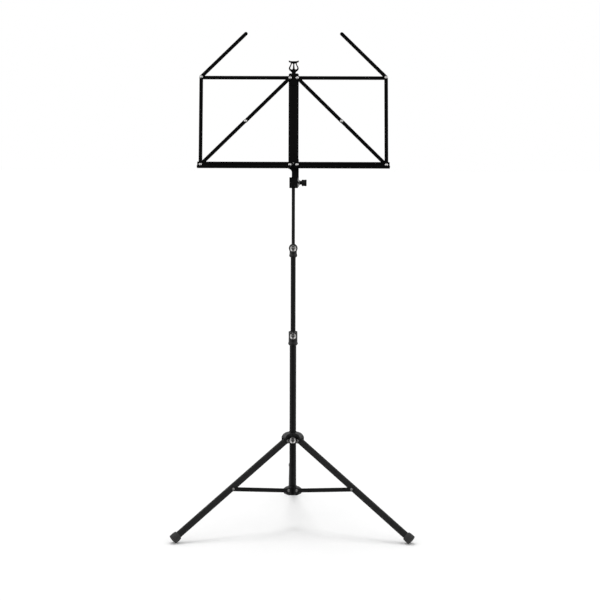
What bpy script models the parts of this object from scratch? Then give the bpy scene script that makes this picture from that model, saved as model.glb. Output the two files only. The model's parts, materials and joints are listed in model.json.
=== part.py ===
"""Folding music stand: three-legged base, a column of three telescoping tubes and a folding strip desk.

Metres, +Z up. The musician sits on the -Y side. The stand is built about its column's axis, and moved at the
end so that the origin is on the floor at the middle of its footprint.
"""
from math import atan2, cos, pi, radians, sin, sqrt

import bmesh
import bpy
from mathutils import Vector

# Gaps
GAP = 0.0003                     # between pieces that touch, slide or turn on each other
FOOTPRINT_MIDDLE_Y = 0.07831     # of the whole stand, from the column's axis, rearward

# Column tubes
LOWER_R, LOWER_WALL = 0.008, 0.0010
MIDDLE_R, MIDDLE_WALL = 0.006, 0.0008
ROD_R, ROD_WALL = 0.004, 0.0010
HUB_BOTTOM, HUB_TOP = 0.0768, 0.0990
HUB_FLOOR = 0.0025               # the blind end of the hub's bore
HUB_R = 0.0118
MIDDLE_BOTTOM = 0.3050
ROD_BOTTOM = 0.4840
BUSH_FLANGE = 0.0040
BUSH_STEM = 0.0110

# Clamps: a moulded sleeve on a tube's top, with a boss at the front for its thumb screw
LOWER_CLAMP_BOTTOM, LOWER_CLAMP_TOP = 0.4452, 0.4791
UPPER_CLAMP_BOTTOM, UPPER_CLAMP_TOP = 0.6578, 0.6863
CLAMP_WALL = 0.0027              # from the tube below to the sleeve's outside
CLAMP_FOOT = 0.0011              # how far the foot stands out from the sleeve
CLAMP_LID = 0.0022               # the thin top of a clamp, bored for the tube above
CLAMP_BOSS_FRONT, CLAMP_BOSS_BACK = 0.0155, 0.0020
LOWER_BOSS_R, UPPER_BOSS_R = 0.0098, 0.0105

# Thumb screws: one pattern for the two clamps and the collar
SCREW_R = 0.0025
SCREW_HOLE_R = 0.0028
KNOB_R, KNOB_LENGTH = 0.0077, 0.0090
SCREW_WAY = 0.0300               # length of the cutter that bores for a screw
LOWER_SCREW_Z, UPPER_SCREW_Z = 0.4697, 0.6802

# Legs and braces, in a leg's own upright plane: radius from the column's axis and height
LEG_AZIMUTHS = {"right": -30.0, "left": 210.0, "rear": 90.0}
LEG_R, LEG_WALL = 0.008, 0.0012
LEG_PIVOT_R, LEG_PIVOT_Z = 0.0190, 0.2133
LEG_ANGLE = radians(55.9)        # from the vertical
FOOT_R, FOOT_LENGTH = 0.0117, 0.0172
FOOT_POCKET = 0.0125
FOOT_SINK = 0.0014               # how much of the cap's rim the floor facet takes off
BRACE_ON_LEG = 0.1800            # from the leg's pivot to its brace rivet
BRACE_WIDTH, BRACE_THICK = 0.0100, 0.0016
BRACE_SIDES = {"right": 1, "left": -1, "rear": -1}   # the side of its leg that each brace lies on
HUB_PIVOT_R, HUB_PIVOT_Z = 0.0172, 0.0910
HUB_LUG_R, HUB_LUG_HALF = 0.0217, 0.0080
PIN_R, PIN_HOLE_R = 0.0020, 0.0023
PIN_WAY = 0.0300                 # length of the cutter that bores for a pin
PIN_TAIL = 0.0010
LEG_PIN_HEAD_R, LEG_PIN_HEAD_H = 0.0040, 0.0014
BRACE_PIN_HEAD_R, BRACE_PIN_HEAD_H = 0.0038, 0.0013

# Leg collar
COLLAR_BOTTOM, COLLAR_TOP = 0.2071, 0.2324
COLLAR_R = 0.0120
COLLAR_BOSS_R, COLLAR_BOSS_FRONT, COLLAR_BOSS_BACK = 0.0070, 0.0175, 0.0020
HOOD_OUT_R, HOOD_HALF = 0.0262, 0.0100
HOOD_SLOT_HALF = 0.0083
# the top of a hood, from its middle outwards: radius, and how far it is below the collar's top
HOOD_TOP = ((0.0030, 0.0), (0.0100, 0.0), (0.0130, 0.0006), (0.0180, 0.0022), (0.0220, 0.0048),
            (0.0248, 0.0082), (HOOD_OUT_R, 0.0112))
COLLAR_SCREW_Z = 0.2164

# Desk, in its own upright frame with the tilt axis at the origin: x across, y to the rear, z up
TILT_Z = 0.8362
TILT_ANGLE = radians(12.0)       # the desk leans back by this
PLATE_BACK = -0.0160
PLATE_HALF, PLATE_THICK = 0.0120, 0.0016
PIVOT_X = 0.0085                 # both columns of pivots, from the middle
PIVOT_LOW_Z = 0.0385
LINK = 0.2120                    # pivot to pivot along the rail, the top strip and the side strip
PLATE_BOTTOM_Z, PLATE_TOP_Z = 0.0300, 0.2618
PLATE_SHOULDER = 0.0020
STRIP_WIDTH, STRIP_THICK = 0.0088, 0.0012
HOLDER_LENGTH = 0.1496           # pivot to the centre of the rounded tip
HOLDER_ANGLE = radians(45.0)
RAIL_LOW, RAIL_HIGH = -0.0094, 0.0066
RAIL_END_R = 0.0082              # of the round end that turns beside the other rail
RAIL_DEPTH, RAIL_LIP = 0.0160, 0.0042
RAIL_SHEET = 0.0012
RAIL_OVERHANG = 0.0075           # past the corner pivot
LYRE_HEIGHT = 0.0318
LYRE_TONGUE = 0.0150             # how far the lyre reaches down behind the plate
RIVET_R, RIVET_HOLE_R = 0.0015, 0.0018
RIVET_HEAD_R, RIVET_HEAD_H = 0.0035, 0.0009
RIVET_TAIL = 0.0004
SPACER_R = 0.0036

# How far each layer of strips stands in front of the plate's back face
LAYER_TOP_STRIP = 0.0019
LAYER_UPPER_BRACE = 0.0034
LAYER_LOWER_BRACE = 0.0063
LAYER_SIDE_STRIP = 0.0078
LAYER_RAIL = 0.0093

# Tilt block and its knob
BLOCK_LEFT, BLOCK_RIGHT = -0.0096, 0.0109
BLOCK_HALF_DEPTH = 0.0100
BLOCK_BOTTOM, BLOCK_TOP = 0.8233, 0.8490
BLOCK_EDGE = 0.0018
ROD_IN_BLOCK = 0.0080
CHEEK_THICK = 0.0016
CHEEK_R = 0.0105
NECK_LEFT, NECK_WIDE_LEFT = -0.0039, -0.0090
NECK_BOTTOM_Z, NECK_STEP_Z, NECK_TOP_Z = 0.0094, 0.0290, 0.0535
NECK_FILLET_HEIGHT = 0.0080
NECK_RIVET_RISE = 0.0040         # above the lower pivots
WASHER_R, WASHER_THICK = 0.0070, 0.0008
TILT_STEM = 0.0056
TILT_KNOB_R, TILT_KNOB_LENGTH = 0.0086, 0.0118
TILT_KNOB_LOBES, TILT_LOBE_DEPTH = 5, 0.0016
TILT_SCREW_TIP = 0.0052

COLLECTION = "music_stand"
CUTTERS = "cutters"

# Colour, roughness and metallic value of each material
MATERIALS = {
    "black_paint": ((0.018, 0.018, 0.019), 0.48, 0.0),
    "black_plastic": ((0.012, 0.012, 0.013), 0.42, 0.0),
    "bright_metal": ((0.62, 0.61, 0.59), 0.28, 1.0),
    "dark_metal": ((0.15, 0.15, 0.15), 0.40, 1.0),
    "foot_rubber": ((0.030, 0.030, 0.032), 0.80, 0.0),
    "bush_plastic": ((0.55, 0.54, 0.50), 0.50, 0.0),
}


def clear_scene():
    for obj in list(bpy.data.objects):
        bpy.data.objects.remove(obj)
    for name in (COLLECTION, CUTTERS):
        group = bpy.data.collections.new(name)
        bpy.context.scene.collection.children.link(group)


def material(name):
    if name in bpy.data.materials:
        return bpy.data.materials[name]
    colour, roughness, metallic = MATERIALS[name]
    made = bpy.data.materials.new(name)
    made.use_nodes = True
    shader = made.node_tree.nodes["Principled BSDF"]
    shader.inputs["Base Color"].default_value = (*colour, 1.0)
    shader.inputs["Roughness"].default_value = roughness
    shader.inputs["Metallic"].default_value = metallic
    return made


def add_object(name, data, group=COLLECTION):
    obj = bpy.data.objects.new(name, data)
    bpy.data.collections[group].objects.link(obj)
    return obj


def add_empty(name, location, rotation=(0, 0, 0), parent=None):
    empty = add_object(name, None)
    empty.location = location
    empty.rotation_euler = rotation
    empty.parent = parent
    return empty


def place(obj, location=(0, 0, 0), rotation=(0, 0, 0), parent=None, look=None):
    obj.location = location
    obj.rotation_euler = rotation
    obj.parent = parent
    if look:
        obj.data.materials.append(material(look))
    return obj


# Shapes


def turned(name, profile, steps=20, group=COLLECTION):
    """A solid turned about Z. The profile runs down the outer side, and back up the bore if it has one."""
    data = bpy.data.meshes.new(name)
    count = len(profile)
    edges = [(i, i + 1) for i in range(count - 1)]
    if min(radius for radius, _ in profile) > 0:
        edges.append((count - 1, 0))
    data.from_pydata([(radius, 0, z) for radius, z in profile], edges, [])
    obj = add_object(name, data, group)
    screw = obj.modifiers.new("turn", "SCREW")
    screw.steps = screw.render_steps = steps
    screw.use_merge_vertices = True
    screw.merge_threshold = 0.00001
    screw.use_smooth_shade = True
    return obj


def ring(inner, outer, low, high):
    """The profile of a straight tube."""
    return [(outer, high), (outer, low), (inner, low), (inner, high)]


def flat(name, outlines, thick, group=COLLECTION):
    """A flat piece cut from sheet: closed outlines in XY, holes included, centred on its thickness."""
    curve = bpy.data.curves.new(name + "_outline", "CURVE")
    curve.dimensions = "2D"
    curve.fill_mode = "BOTH"
    curve.extrude = thick / 2
    for outline in outlines:
        spline = curve.splines.new("POLY")
        spline.points.add(len(outline) - 1)
        for point, (x, y) in zip(spline.points, outline):
            point.co = (x, y, 0, 1)
        spline.use_cyclic_u = True
    drawn = add_object(name + "_outline", curve, group)
    view = bpy.context.evaluated_depsgraph_get()
    data = bpy.data.meshes.new_from_object(drawn.evaluated_get(view))
    data.name = name
    mesh = bmesh.new()
    mesh.from_mesh(data)
    bmesh.ops.remove_doubles(mesh, verts=mesh.verts, dist=0.00001)
    mesh.to_mesh(data)
    mesh.free()
    obj = add_object(name, data, group)
    bpy.data.objects.remove(drawn)
    bpy.data.curves.remove(curve)
    return obj


def block(name, low, high, group=COLLECTION):
    """A box between two corners, with its scale applied."""
    data = bpy.data.meshes.new(name)
    mesh = bmesh.new()
    bmesh.ops.create_cube(mesh, size=1.0)
    size = Vector(high) - Vector(low)
    bmesh.ops.scale(mesh, vec=size, verts=mesh.verts)
    bmesh.ops.translate(mesh, vec=(Vector(high) + Vector(low)) / 2, verts=mesh.verts)
    mesh.to_mesh(data)
    mesh.free()
    return add_object(name, data, group)


def rod_cutter(name, radius, length, location, rotation, parent=None, sides=14):
    """A cylinder along its own Z, centred on its location."""
    data = bpy.data.meshes.new(name)
    mesh = bmesh.new()
    bmesh.ops.create_cone(mesh, cap_ends=True, segments=sides, radius1=radius, radius2=radius, depth=length)
    mesh.to_mesh(data)
    mesh.free()
    return place(add_object(name, data, CUTTERS), location, rotation, parent)


def combine(obj, tool, operation):
    """A Boolean on obj. The tool stays in the cutters' collection as a wire guide."""
    tool.hide_render = True
    tool.display_type = "WIRE"
    step = obj.modifiers.new(operation.lower() + "_" + tool.name, "BOOLEAN")
    step.operation = operation
    step.solver = "EXACT"
    step.object = tool
    return obj


def cut(obj, tool):
    return combine(obj, tool, "DIFFERENCE")


def join(obj, tool):
    return combine(obj, tool, "UNION")


def arc(centre, radius, start, end, steps):
    """Points along an arc, with its angles in degrees."""
    angles = [radians(start + (end - start) * i / steps) for i in range(steps + 1)]
    return [(centre[0] + radius * cos(a), centre[1] + radius * sin(a)) for a in angles]


def circle(centre, radius, steps=12):
    return arc(centre, radius, 0, 360, steps)[:-1]


def strip_outline(length, width):
    """A strip with round ends, whose end centres are at the origin and at +X."""
    half = width / 2
    return arc((length, 0), half, -90, 90, 8) + arc((0, 0), half, 90, 270, 8)


def dome(head, height, end):
    """The outline of a domed rivet head that stands on end."""
    return [(0, end + height), (head * 0.55, end + height * 0.86), (head * 0.88, end + height * 0.45),
            (head, end)]


def rivet_profile(tail, start, end, radius, head, height, spacer=()):
    """A rivet along +Z: a flat tail below start, a domed head above end, and a spacer if it has one."""
    profile = dome(head, height, end) + [(radius, end)]
    if spacer:
        low, high = spacer
        profile += [(radius, high), (SPACER_R, high), (SPACER_R, low), (radius, low)]
    return profile + [(radius, start), (head * 0.8, start), (head * 0.8, start - tail), (0.0, start - tail)]


# Column


def build_column():
    place(turned("lower_tube", ring(LOWER_R - LOWER_WALL, LOWER_R, HUB_BOTTOM + HUB_FLOOR + GAP,
                                    LOWER_CLAMP_TOP - CLAMP_LID - GAP), 24), look="black_paint")
    place(turned("middle_tube", ring(MIDDLE_R - MIDDLE_WALL, MIDDLE_R, MIDDLE_BOTTOM,
                                     UPPER_CLAMP_TOP - CLAMP_LID - GAP), 20), look="black_paint")
    place(turned("top_rod", ring(ROD_R - ROD_WALL, ROD_R, ROD_BOTTOM, BLOCK_BOTTOM + ROD_IN_BLOCK - GAP), 16),
          look="black_paint")
    for tube, radius, z in (("lower_tube", LOWER_R, LOWER_SCREW_Z), ("middle_tube", MIDDLE_R, UPPER_SCREW_Z)):
        hole = rod_cutter(tube + "_screw_hole", SCREW_HOLE_R, radius * 2, (0, -radius, z), (pi / 2, 0, 0))
        cut(bpy.data.objects[tube], hole)
    end_bush("middle_tube_bush", MIDDLE_R - MIDDLE_WALL - GAP, LOWER_R - LOWER_WALL - GAP, MIDDLE_BOTTOM)
    end_bush("top_rod_bush", ROD_R - ROD_WALL - GAP, MIDDLE_R - MIDDLE_WALL - GAP, ROD_BOTTOM)


def end_bush(name, stem, flange, tube_end):
    """The guide pushed into a tube's lower end, whose flange runs in the next tube down."""
    top, shoulder = tube_end + BUSH_STEM, tube_end - GAP
    profile = [(0, top), (stem - 0.0006, top), (stem, top - 0.0012), (stem, shoulder), (flange, shoulder),
               (flange, shoulder - BUSH_FLANGE), (0, shoulder - BUSH_FLANGE)]
    place(turned(name, profile, 16), look="bush_plastic")


def build_clamp(name, low, high, tube_below, tube_above, screw_z, boss_r):
    """A moulded sleeve round a tube's top, with its thumb screw in a round boss."""
    outer = tube_below + CLAMP_WALL
    foot = outer + CLAMP_FOOT
    profile = [(0, high), (outer - 0.0010, high), (outer, high - 0.0012), (outer, low + 0.0072),
               (foot, low + 0.0054), (foot, low + 0.0034), (foot - 0.0022, low), (0, low)]
    clamp = place(turned(name, profile, 24), look="black_plastic")
    boss = [(0, CLAMP_BOSS_FRONT), (boss_r - 0.0011, CLAMP_BOSS_FRONT), (boss_r, CLAMP_BOSS_FRONT - 0.0010),
            (boss_r, CLAMP_BOSS_BACK), (0, CLAMP_BOSS_BACK)]
    join(clamp, place(turned(name + "_boss", boss, 20, CUTTERS), (0, 0, screw_z), (pi / 2, 0, 0)))
    for tag, radius, start, end in (("bore", tube_below + GAP, low - 0.002, high - CLAMP_LID),
                                    ("lid_bore", tube_above + GAP, low + 0.010, high + 0.015)):
        middle = (0, 0, (start + end) / 2)
        cut(clamp, rod_cutter(f"{name}_{tag}", radius, end - start, middle, (0, 0, 0), None, 24))
    way = (0, -SCREW_WAY / 2, screw_z)
    cut(clamp, rod_cutter(name + "_screw_way", SCREW_HOLE_R, SCREW_WAY, way, (pi / 2, 0, 0)))
    build_thumb_screw(name + "_screw", screw_z, tube_above + GAP, CLAMP_BOSS_FRONT + GAP)


def build_thumb_screw(name, z, tip, seat):
    """A metal thumb screw along -Y, from its tip to the seat that its knob stands on."""
    rim = seat + KNOB_LENGTH
    profile = [(0, rim - 0.0022), (0.0032, rim - 0.0022), (0.0044, rim - 0.0004), (0.0060, rim),
               (KNOB_R, rim - 0.0014), (KNOB_R, seat + 0.0030), (0.0052, seat + 0.0014), (0.0045, seat),
               (SCREW_R, seat), (SCREW_R, tip + 0.0008), (SCREW_R - 0.0008, tip), (0, tip)]
    screw = turned(name, profile, 20)
    place(screw, (0, 0, z), (pi / 2, 0, 0), look="bright_metal")


# Tripod


def leg_length():
    """From the leg's pivot to its cap's end face, whose lowest rim is just below the floor."""
    height = FOOT_R * sin(LEG_ANGLE) - FOOT_SINK
    return (LEG_PIVOT_Z - height) / cos(LEG_ANGLE)


def brace_rivet_place():
    """Radius and height of the rivet that joins a leg and its brace."""
    return (LEG_PIVOT_R + BRACE_ON_LEG * sin(LEG_ANGLE), LEG_PIVOT_Z - BRACE_ON_LEG * cos(LEG_ANGLE))


def build_leg(side, spoke):
    length = leg_length()
    # the leg's own frame has its pivot at the origin and runs along +Z, down and out
    frame = add_empty(f"leg_{side}_pivot", (LEG_PIVOT_R, 0, LEG_PIVOT_Z), (0, pi - LEG_ANGLE, 0), spoke)
    name = f"leg_{side}"
    end = length - (FOOT_LENGTH - FOOT_POCKET) - GAP
    bore = LEG_R - LEG_WALL
    # the upper end is domed about the pivot, so that it turns inside its hood
    mouth = radians(54)
    crown = [(LEG_R * cos(mouth * i / 3), -LEG_R * sin(mouth * i / 3)) for i in range(4)]
    profile = [(LEG_R, end)] + crown + [(bore * cos(mouth), -bore * sin(mouth)), (bore, 0), (bore, end)]
    tube = place(turned(name, profile, 20), parent=frame, look="black_paint")
    cut(tube, rod_cutter(name + "_pin_hole", PIN_HOLE_R, PIN_WAY, (0, 0, 0), (pi / 2, 0, 0), frame))
    build_foot(side, frame, length)
    head = HOOD_HALF + GAP
    outline = rivet_profile(PIN_TAIL, -head, head, PIN_R, LEG_PIN_HEAD_R, LEG_PIN_HEAD_H)
    pin = turned(f"leg_pivot_pin_{side}", outline, 14)
    place(pin, (LEG_PIVOT_R, 0, LEG_PIVOT_Z), (BRACE_SIDES[side] * pi / 2, 0, 0), spoke, "dark_metal")


def build_foot(side, frame, length):
    """The rubber cap, whose lowest rim is cut to a flat that stands on the floor."""
    low = length - FOOT_LENGTH
    pocket = LEG_R + GAP
    profile = [(0, length), (FOOT_R - 0.0008, length), (FOOT_R, length - 0.0005), (FOOT_R, low + 0.0050),
               (FOOT_R - 0.0012, low), (pocket, low), (pocket, low + FOOT_POCKET), (0, low + FOOT_POCKET)]
    foot = place(turned(f"foot_{side}", profile, 24), parent=frame, look="foot_rubber")
    floor = block(f"floor_{side}", (-0.05, -0.05, -0.03), (0.05, 0.05, 0.0), CUTTERS)
    reach = LEG_PIVOT_R + length * sin(LEG_ANGLE)
    place(floor, (reach, 0, 0), parent=frame.parent)
    cut(foot, floor)


def build_brace(side, spoke):
    """A flat strip on one side of the leg, from the hub's lug to the leg."""
    rivet_r, rivet_z = brace_rivet_place()
    run, rise = rivet_r - HUB_PIVOT_R, rivet_z - HUB_PIVOT_Z
    length, slope = sqrt(run ** 2 + rise ** 2), atan2(rise, run)
    inside = HUB_LUG_HALF + GAP
    outside = inside + BRACE_THICK
    turn = (BRACE_SIDES[side] * pi / 2, -slope, 0)
    frame = add_empty(f"brace_{side}_pivot", (HUB_PIVOT_R, 0, HUB_PIVOT_Z), turn, spoke)
    outlines = [strip_outline(length, BRACE_WIDTH)] + [circle((x, 0), PIN_HOLE_R) for x in (0, length)]
    place(flat(f"brace_{side}", outlines, BRACE_THICK), (0, 0, (inside + outside) / 2), parent=frame,
          look="black_paint")
    # the outer rivet stops short of the leg's wall, because this end of the linkage is the open one
    seat, start = outside + GAP / 2, inside - GAP / 2
    head, height = BRACE_PIN_HEAD_R, BRACE_PIN_HEAD_H
    stub = dome(head, height, seat) + [(PIN_R, seat), (PIN_R, start), (0, start)]
    place(turned(f"brace_rivet_{side}", stub, 12), (length, 0, 0), parent=frame, look="dark_metal")
    through = rivet_profile(PIN_TAIL, -inside, seat, PIN_R, head, height)
    place(turned(f"hub_rivet_{side}", through, 12), parent=frame, look="dark_metal")


def build_hub(spokes):
    body = [(0, HUB_TOP), (HUB_R - 0.0010, HUB_TOP), (HUB_R, HUB_TOP - 0.0010), (HUB_R, HUB_BOTTOM + 0.0030),
            (HUB_R - 0.0030, HUB_BOTTOM), (0, HUB_BOTTOM)]
    hub = place(turned("base_hub", body, 24), look="black_plastic")
    for side, spoke in spokes.items():
        lug = flat(f"hub_lug_{side}", [lug_outline()], HUB_LUG_HALF * 2, CUTTERS)
        place(lug, (0, 0, 0), (pi / 2, 0, 0), spoke)
        join(hub, lug)
        cut(hub, rod_cutter(f"hub_pin_hole_{side}", PIN_HOLE_R, PIN_WAY, (HUB_PIVOT_R, 0, HUB_PIVOT_Z),
                            (pi / 2, 0, 0), spoke))
    depth = 0.060
    middle = (0, 0, HUB_BOTTOM + HUB_FLOOR + depth / 2)
    cut(hub, rod_cutter("hub_bore", LOWER_R + GAP, depth, middle, (0, 0, 0), None, 24))


def lug_outline():
    """A hub lug seen from its side: radius and height, round about the pivot above and deep below."""
    end = arc((HUB_PIVOT_R, HUB_PIVOT_Z), HUB_LUG_R - HUB_PIVOT_R, 0, 65, 6)
    return [(0.0040, HUB_BOTTOM + 0.0006), (0.0150, HUB_BOTTOM + 0.0014), (0.0200, HUB_BOTTOM + 0.0036),
            (HUB_LUG_R, HUB_BOTTOM + 0.0070)] + end + [(0.0130, HUB_TOP - 0.0010), (0.0040, HUB_TOP - 0.0010)]


def hood_outline():
    """A collar hood seen from its side: radius and height, sloping over the leg's top."""
    top = [(radius, COLLAR_TOP - drop) for radius, drop in HOOD_TOP]
    return top + [(HOOD_OUT_R, COLLAR_BOTTOM + 0.0060), (HOOD_OUT_R - 0.0050, COLLAR_BOTTOM),
                  (0.0030, COLLAR_BOTTOM)]


def pocket_outline():
    """The space that the leg's top swings in: round about the pivot, open below and outwards."""
    clear = LEG_R + GAP
    top = arc((LEG_PIVOT_R, LEG_PIVOT_Z), clear, 60, 180, 8)
    low, far = COLLAR_BOTTOM - 0.0100, 0.0500
    return top + [(LEG_PIVOT_R - clear, low), (far, low), (far, LEG_PIVOT_Z - 0.0058)]


def build_collar(spokes):
    body = [(0, COLLAR_TOP), (COLLAR_R - 0.0010, COLLAR_TOP), (COLLAR_R, COLLAR_TOP - 0.0010),
            (COLLAR_R, COLLAR_BOTTOM + 0.0010), (COLLAR_R - 0.0010, COLLAR_BOTTOM), (0, COLLAR_BOTTOM)]
    collar = place(turned("leg_collar", body, 24), look="black_plastic")
    for side, spoke in spokes.items():
        hood = flat(f"collar_hood_{side}", [hood_outline()], HOOD_HALF * 2, CUTTERS)
        join(collar, place(hood, (0, 0, 0), (pi / 2, 0, 0), spoke))
    boss = [(0, COLLAR_BOSS_FRONT), (COLLAR_BOSS_R - 0.0008, COLLAR_BOSS_FRONT),
            (COLLAR_BOSS_R, COLLAR_BOSS_FRONT - 0.0008), (COLLAR_BOSS_R, COLLAR_BOSS_BACK),
            (0, COLLAR_BOSS_BACK)]
    join(collar, place(turned("collar_boss", boss, 16, CUTTERS), (0, 0, COLLAR_SCREW_Z), (pi / 2, 0, 0)))
    for side, spoke in spokes.items():
        pocket = flat(f"collar_pocket_{side}", [pocket_outline()], HOOD_SLOT_HALF * 2, CUTTERS)
        cut(collar, place(pocket, (0, 0, 0), (pi / 2, 0, 0), spoke))
        cut(collar, rod_cutter(f"collar_pin_hole_{side}", PIN_HOLE_R, PIN_WAY, (LEG_PIVOT_R, 0, LEG_PIVOT_Z),
                               (pi / 2, 0, 0), spoke))
    middle = (0, 0, (COLLAR_BOTTOM + COLLAR_TOP) / 2)
    cut(collar, rod_cutter("collar_bore", LOWER_R + GAP, 0.060, middle, (0, 0, 0), None, 24))
    way = (0, -SCREW_WAY / 2, COLLAR_SCREW_Z)
    cut(collar, rod_cutter("collar_screw_way", SCREW_HOLE_R, SCREW_WAY, way, (pi / 2, 0, 0)))
    build_thumb_screw("leg_collar_screw", COLLAR_SCREW_Z, LOWER_R + GAP, COLLAR_BOSS_FRONT + GAP)


def build_tripod():
    spokes = {}
    for side, azimuth in LEG_AZIMUTHS.items():
        spokes[side] = add_empty(f"spoke_{side}", (0, 0, 0), (0, 0, radians(azimuth)))
        build_leg(side, spokes[side])
        build_brace(side, spokes[side])
    build_hub(spokes)
    build_collar(spokes)


# Head of the column


def build_tilt_block():
    body = block("tilt_block", (BLOCK_LEFT, -BLOCK_HALF_DEPTH, BLOCK_BOTTOM),
                 (BLOCK_RIGHT, BLOCK_HALF_DEPTH, BLOCK_TOP))
    place(body, look="black_plastic")
    bevel = body.modifiers.new("rounded", "BEVEL")
    bevel.width = BLOCK_EDGE
    bevel.segments = 2
    depth = ROD_IN_BLOCK + 0.004
    middle = (0, 0, BLOCK_BOTTOM + ROD_IN_BLOCK - depth / 2)
    cut(body, rod_cutter("block_rod_hole", ROD_R + GAP, depth, middle, (0, 0, 0), None, 18))
    length = 0.0200
    middle = (TILT_SCREW_TIP - 0.0010 + length / 2, 0, TILT_Z)
    cut(body, rod_cutter("block_screw_hole", SCREW_HOLE_R, length, middle, (0, pi / 2, 0)))


def lobed_outline(steps=40):
    """A hand knob's rim, with finger hollows between its lobes."""
    points = []
    for i in range(steps):
        angle = 2 * pi * i / steps
        radius = TILT_KNOB_R - TILT_LOBE_DEPTH * (0.5 - 0.5 * cos(TILT_KNOB_LOBES * angle))
        points.append((radius * cos(angle), radius * sin(angle)))
    return points


def build_tilt_knob():
    washer_start = BLOCK_RIGHT + GAP + CHEEK_THICK + GAP
    washer_end = washer_start + WASHER_THICK
    washer = turned("tilt_washer", ring(SCREW_HOLE_R, WASHER_R, washer_start, washer_end), 20)
    place(washer, (0, 0, TILT_Z), (0, pi / 2, 0), look="bright_metal")
    start = washer_end + GAP
    neck = start + TILT_STEM
    profile = [(0, neck + 0.0012), (0.0048, neck + 0.0012), (0.0042, neck - 0.0022), (0.0066, start + 0.0010),
               (0.0066, start), (SCREW_R, start), (SCREW_R, TILT_SCREW_TIP), (0, TILT_SCREW_TIP)]
    knob = place(turned("tilt_knob", profile, 20), (0, 0, TILT_Z), (0, pi / 2, 0), look="black_plastic")
    grip = flat("tilt_knob_grip", [lobed_outline()], TILT_KNOB_LENGTH, CUTTERS)
    join(knob, place(grip, (neck + TILT_KNOB_LENGTH / 2, 0, TILT_Z), (0, pi / 2, 0)))


# Desk. Every piece is placed in the desk's upright frame, whose empty leans back


def desk_sheet(name, outlines, layer, origin, desk, thick=STRIP_THICK, angle=0.0):
    """A sheet piece facing front: the outline's XY is the desk's XZ, turned up from +X by the angle."""
    piece = flat(name, outlines, thick)
    y = PLATE_BACK - layer - thick / 2
    return place(piece, (origin[0], y, origin[1]), (pi / 2, -angle, 0), desk, "black_paint")


def desk_rivet(name, origin, desk, start, end, tail=RIVET_TAIL, spacer=(), look="bright_metal"):
    profile = rivet_profile(tail, start, end, RIVET_R, RIVET_HEAD_R, RIVET_HEAD_H, spacer)
    place(turned(name, profile, 12), (origin[0], PLATE_BACK, origin[1]), (pi / 2, 0, 0), desk, look)


def strip(name, length, layer, origin, desk, angle, holes=(0, 1)):
    outlines = [strip_outline(length, STRIP_WIDTH)] + [circle((length * at, 0), RIVET_HOLE_R) for at in holes]
    desk_sheet(name, outlines, layer, origin, desk, angle=angle)


def plate_outlines():
    shoulder = PLATE_SHOULDER
    low, high = PLATE_BOTTOM_Z, PLATE_TOP_Z
    outline = [(-PLATE_HALF, low), (PLATE_HALF, low), (PLATE_HALF, high - shoulder),
               (PLATE_HALF - shoulder, high), (shoulder - PLATE_HALF, high), (-PLATE_HALF, high - shoulder)]
    heights = (PIVOT_LOW_Z, PIVOT_LOW_Z + LINK)
    holes = [circle((x, z), RIVET_HOLE_R) for x in (-PIVOT_X, PIVOT_X) for z in heights]
    return [outline] + holes + [circle((0, PIVOT_LOW_Z + NECK_RIVET_RISE), RIVET_HOLE_R)]


def lyre_outlines():
    """A small lyre: two curved arms and a middle post between a neck and a bar with turned-up ends."""
    bar = LYRE_HEIGHT - 0.0052
    arm = [(0.0054, 0.0032), (0.0090, 0.0066), (0.0112, 0.0096), (0.0117, 0.0124), (0.0112, 0.0150),
           (0.0093, 0.0185), (0.0069, 0.0225), (0.0064, 0.0246), (0.0068, bar)]
    top = [(0.0094, bar + 0.0006), (0.0108, bar + 0.0028), (0.0113, LYRE_HEIGHT), (0.0102, LYRE_HEIGHT),
           (0.0084, LYRE_HEIGHT - 0.0018), (0.0045, LYRE_HEIGHT - 0.0026)]
    right = [(0.0045, -LYRE_TONGUE), (0.0045, 0.0004)] + arm + top
    opening = [(0.0044, 0.0249), (0.0046, 0.0230), (0.0062, 0.0185), (0.0077, 0.0146), (0.0079, 0.0126),
               (0.0072, 0.0108), (0.0056, 0.0100), (0.0036, 0.0104), (0.0025, 0.0120), (0.0019, 0.0185),
               (0.0016, 0.0249)]
    outline = right + [(-x, z) for x, z in reversed(right)]
    return [outline, opening, [(-x, z) for x, z in opening]]


def build_plate(desk):
    desk_sheet("center_plate", plate_outlines(), 0, (0, 0), desk, PLATE_THICK)
    behind, foot = -PLATE_THICK - GAP, (0, PLATE_TOP_Z + GAP)
    desk_sheet("lyre_finial", lyre_outlines(), behind, foot, desk, PLATE_THICK)


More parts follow.
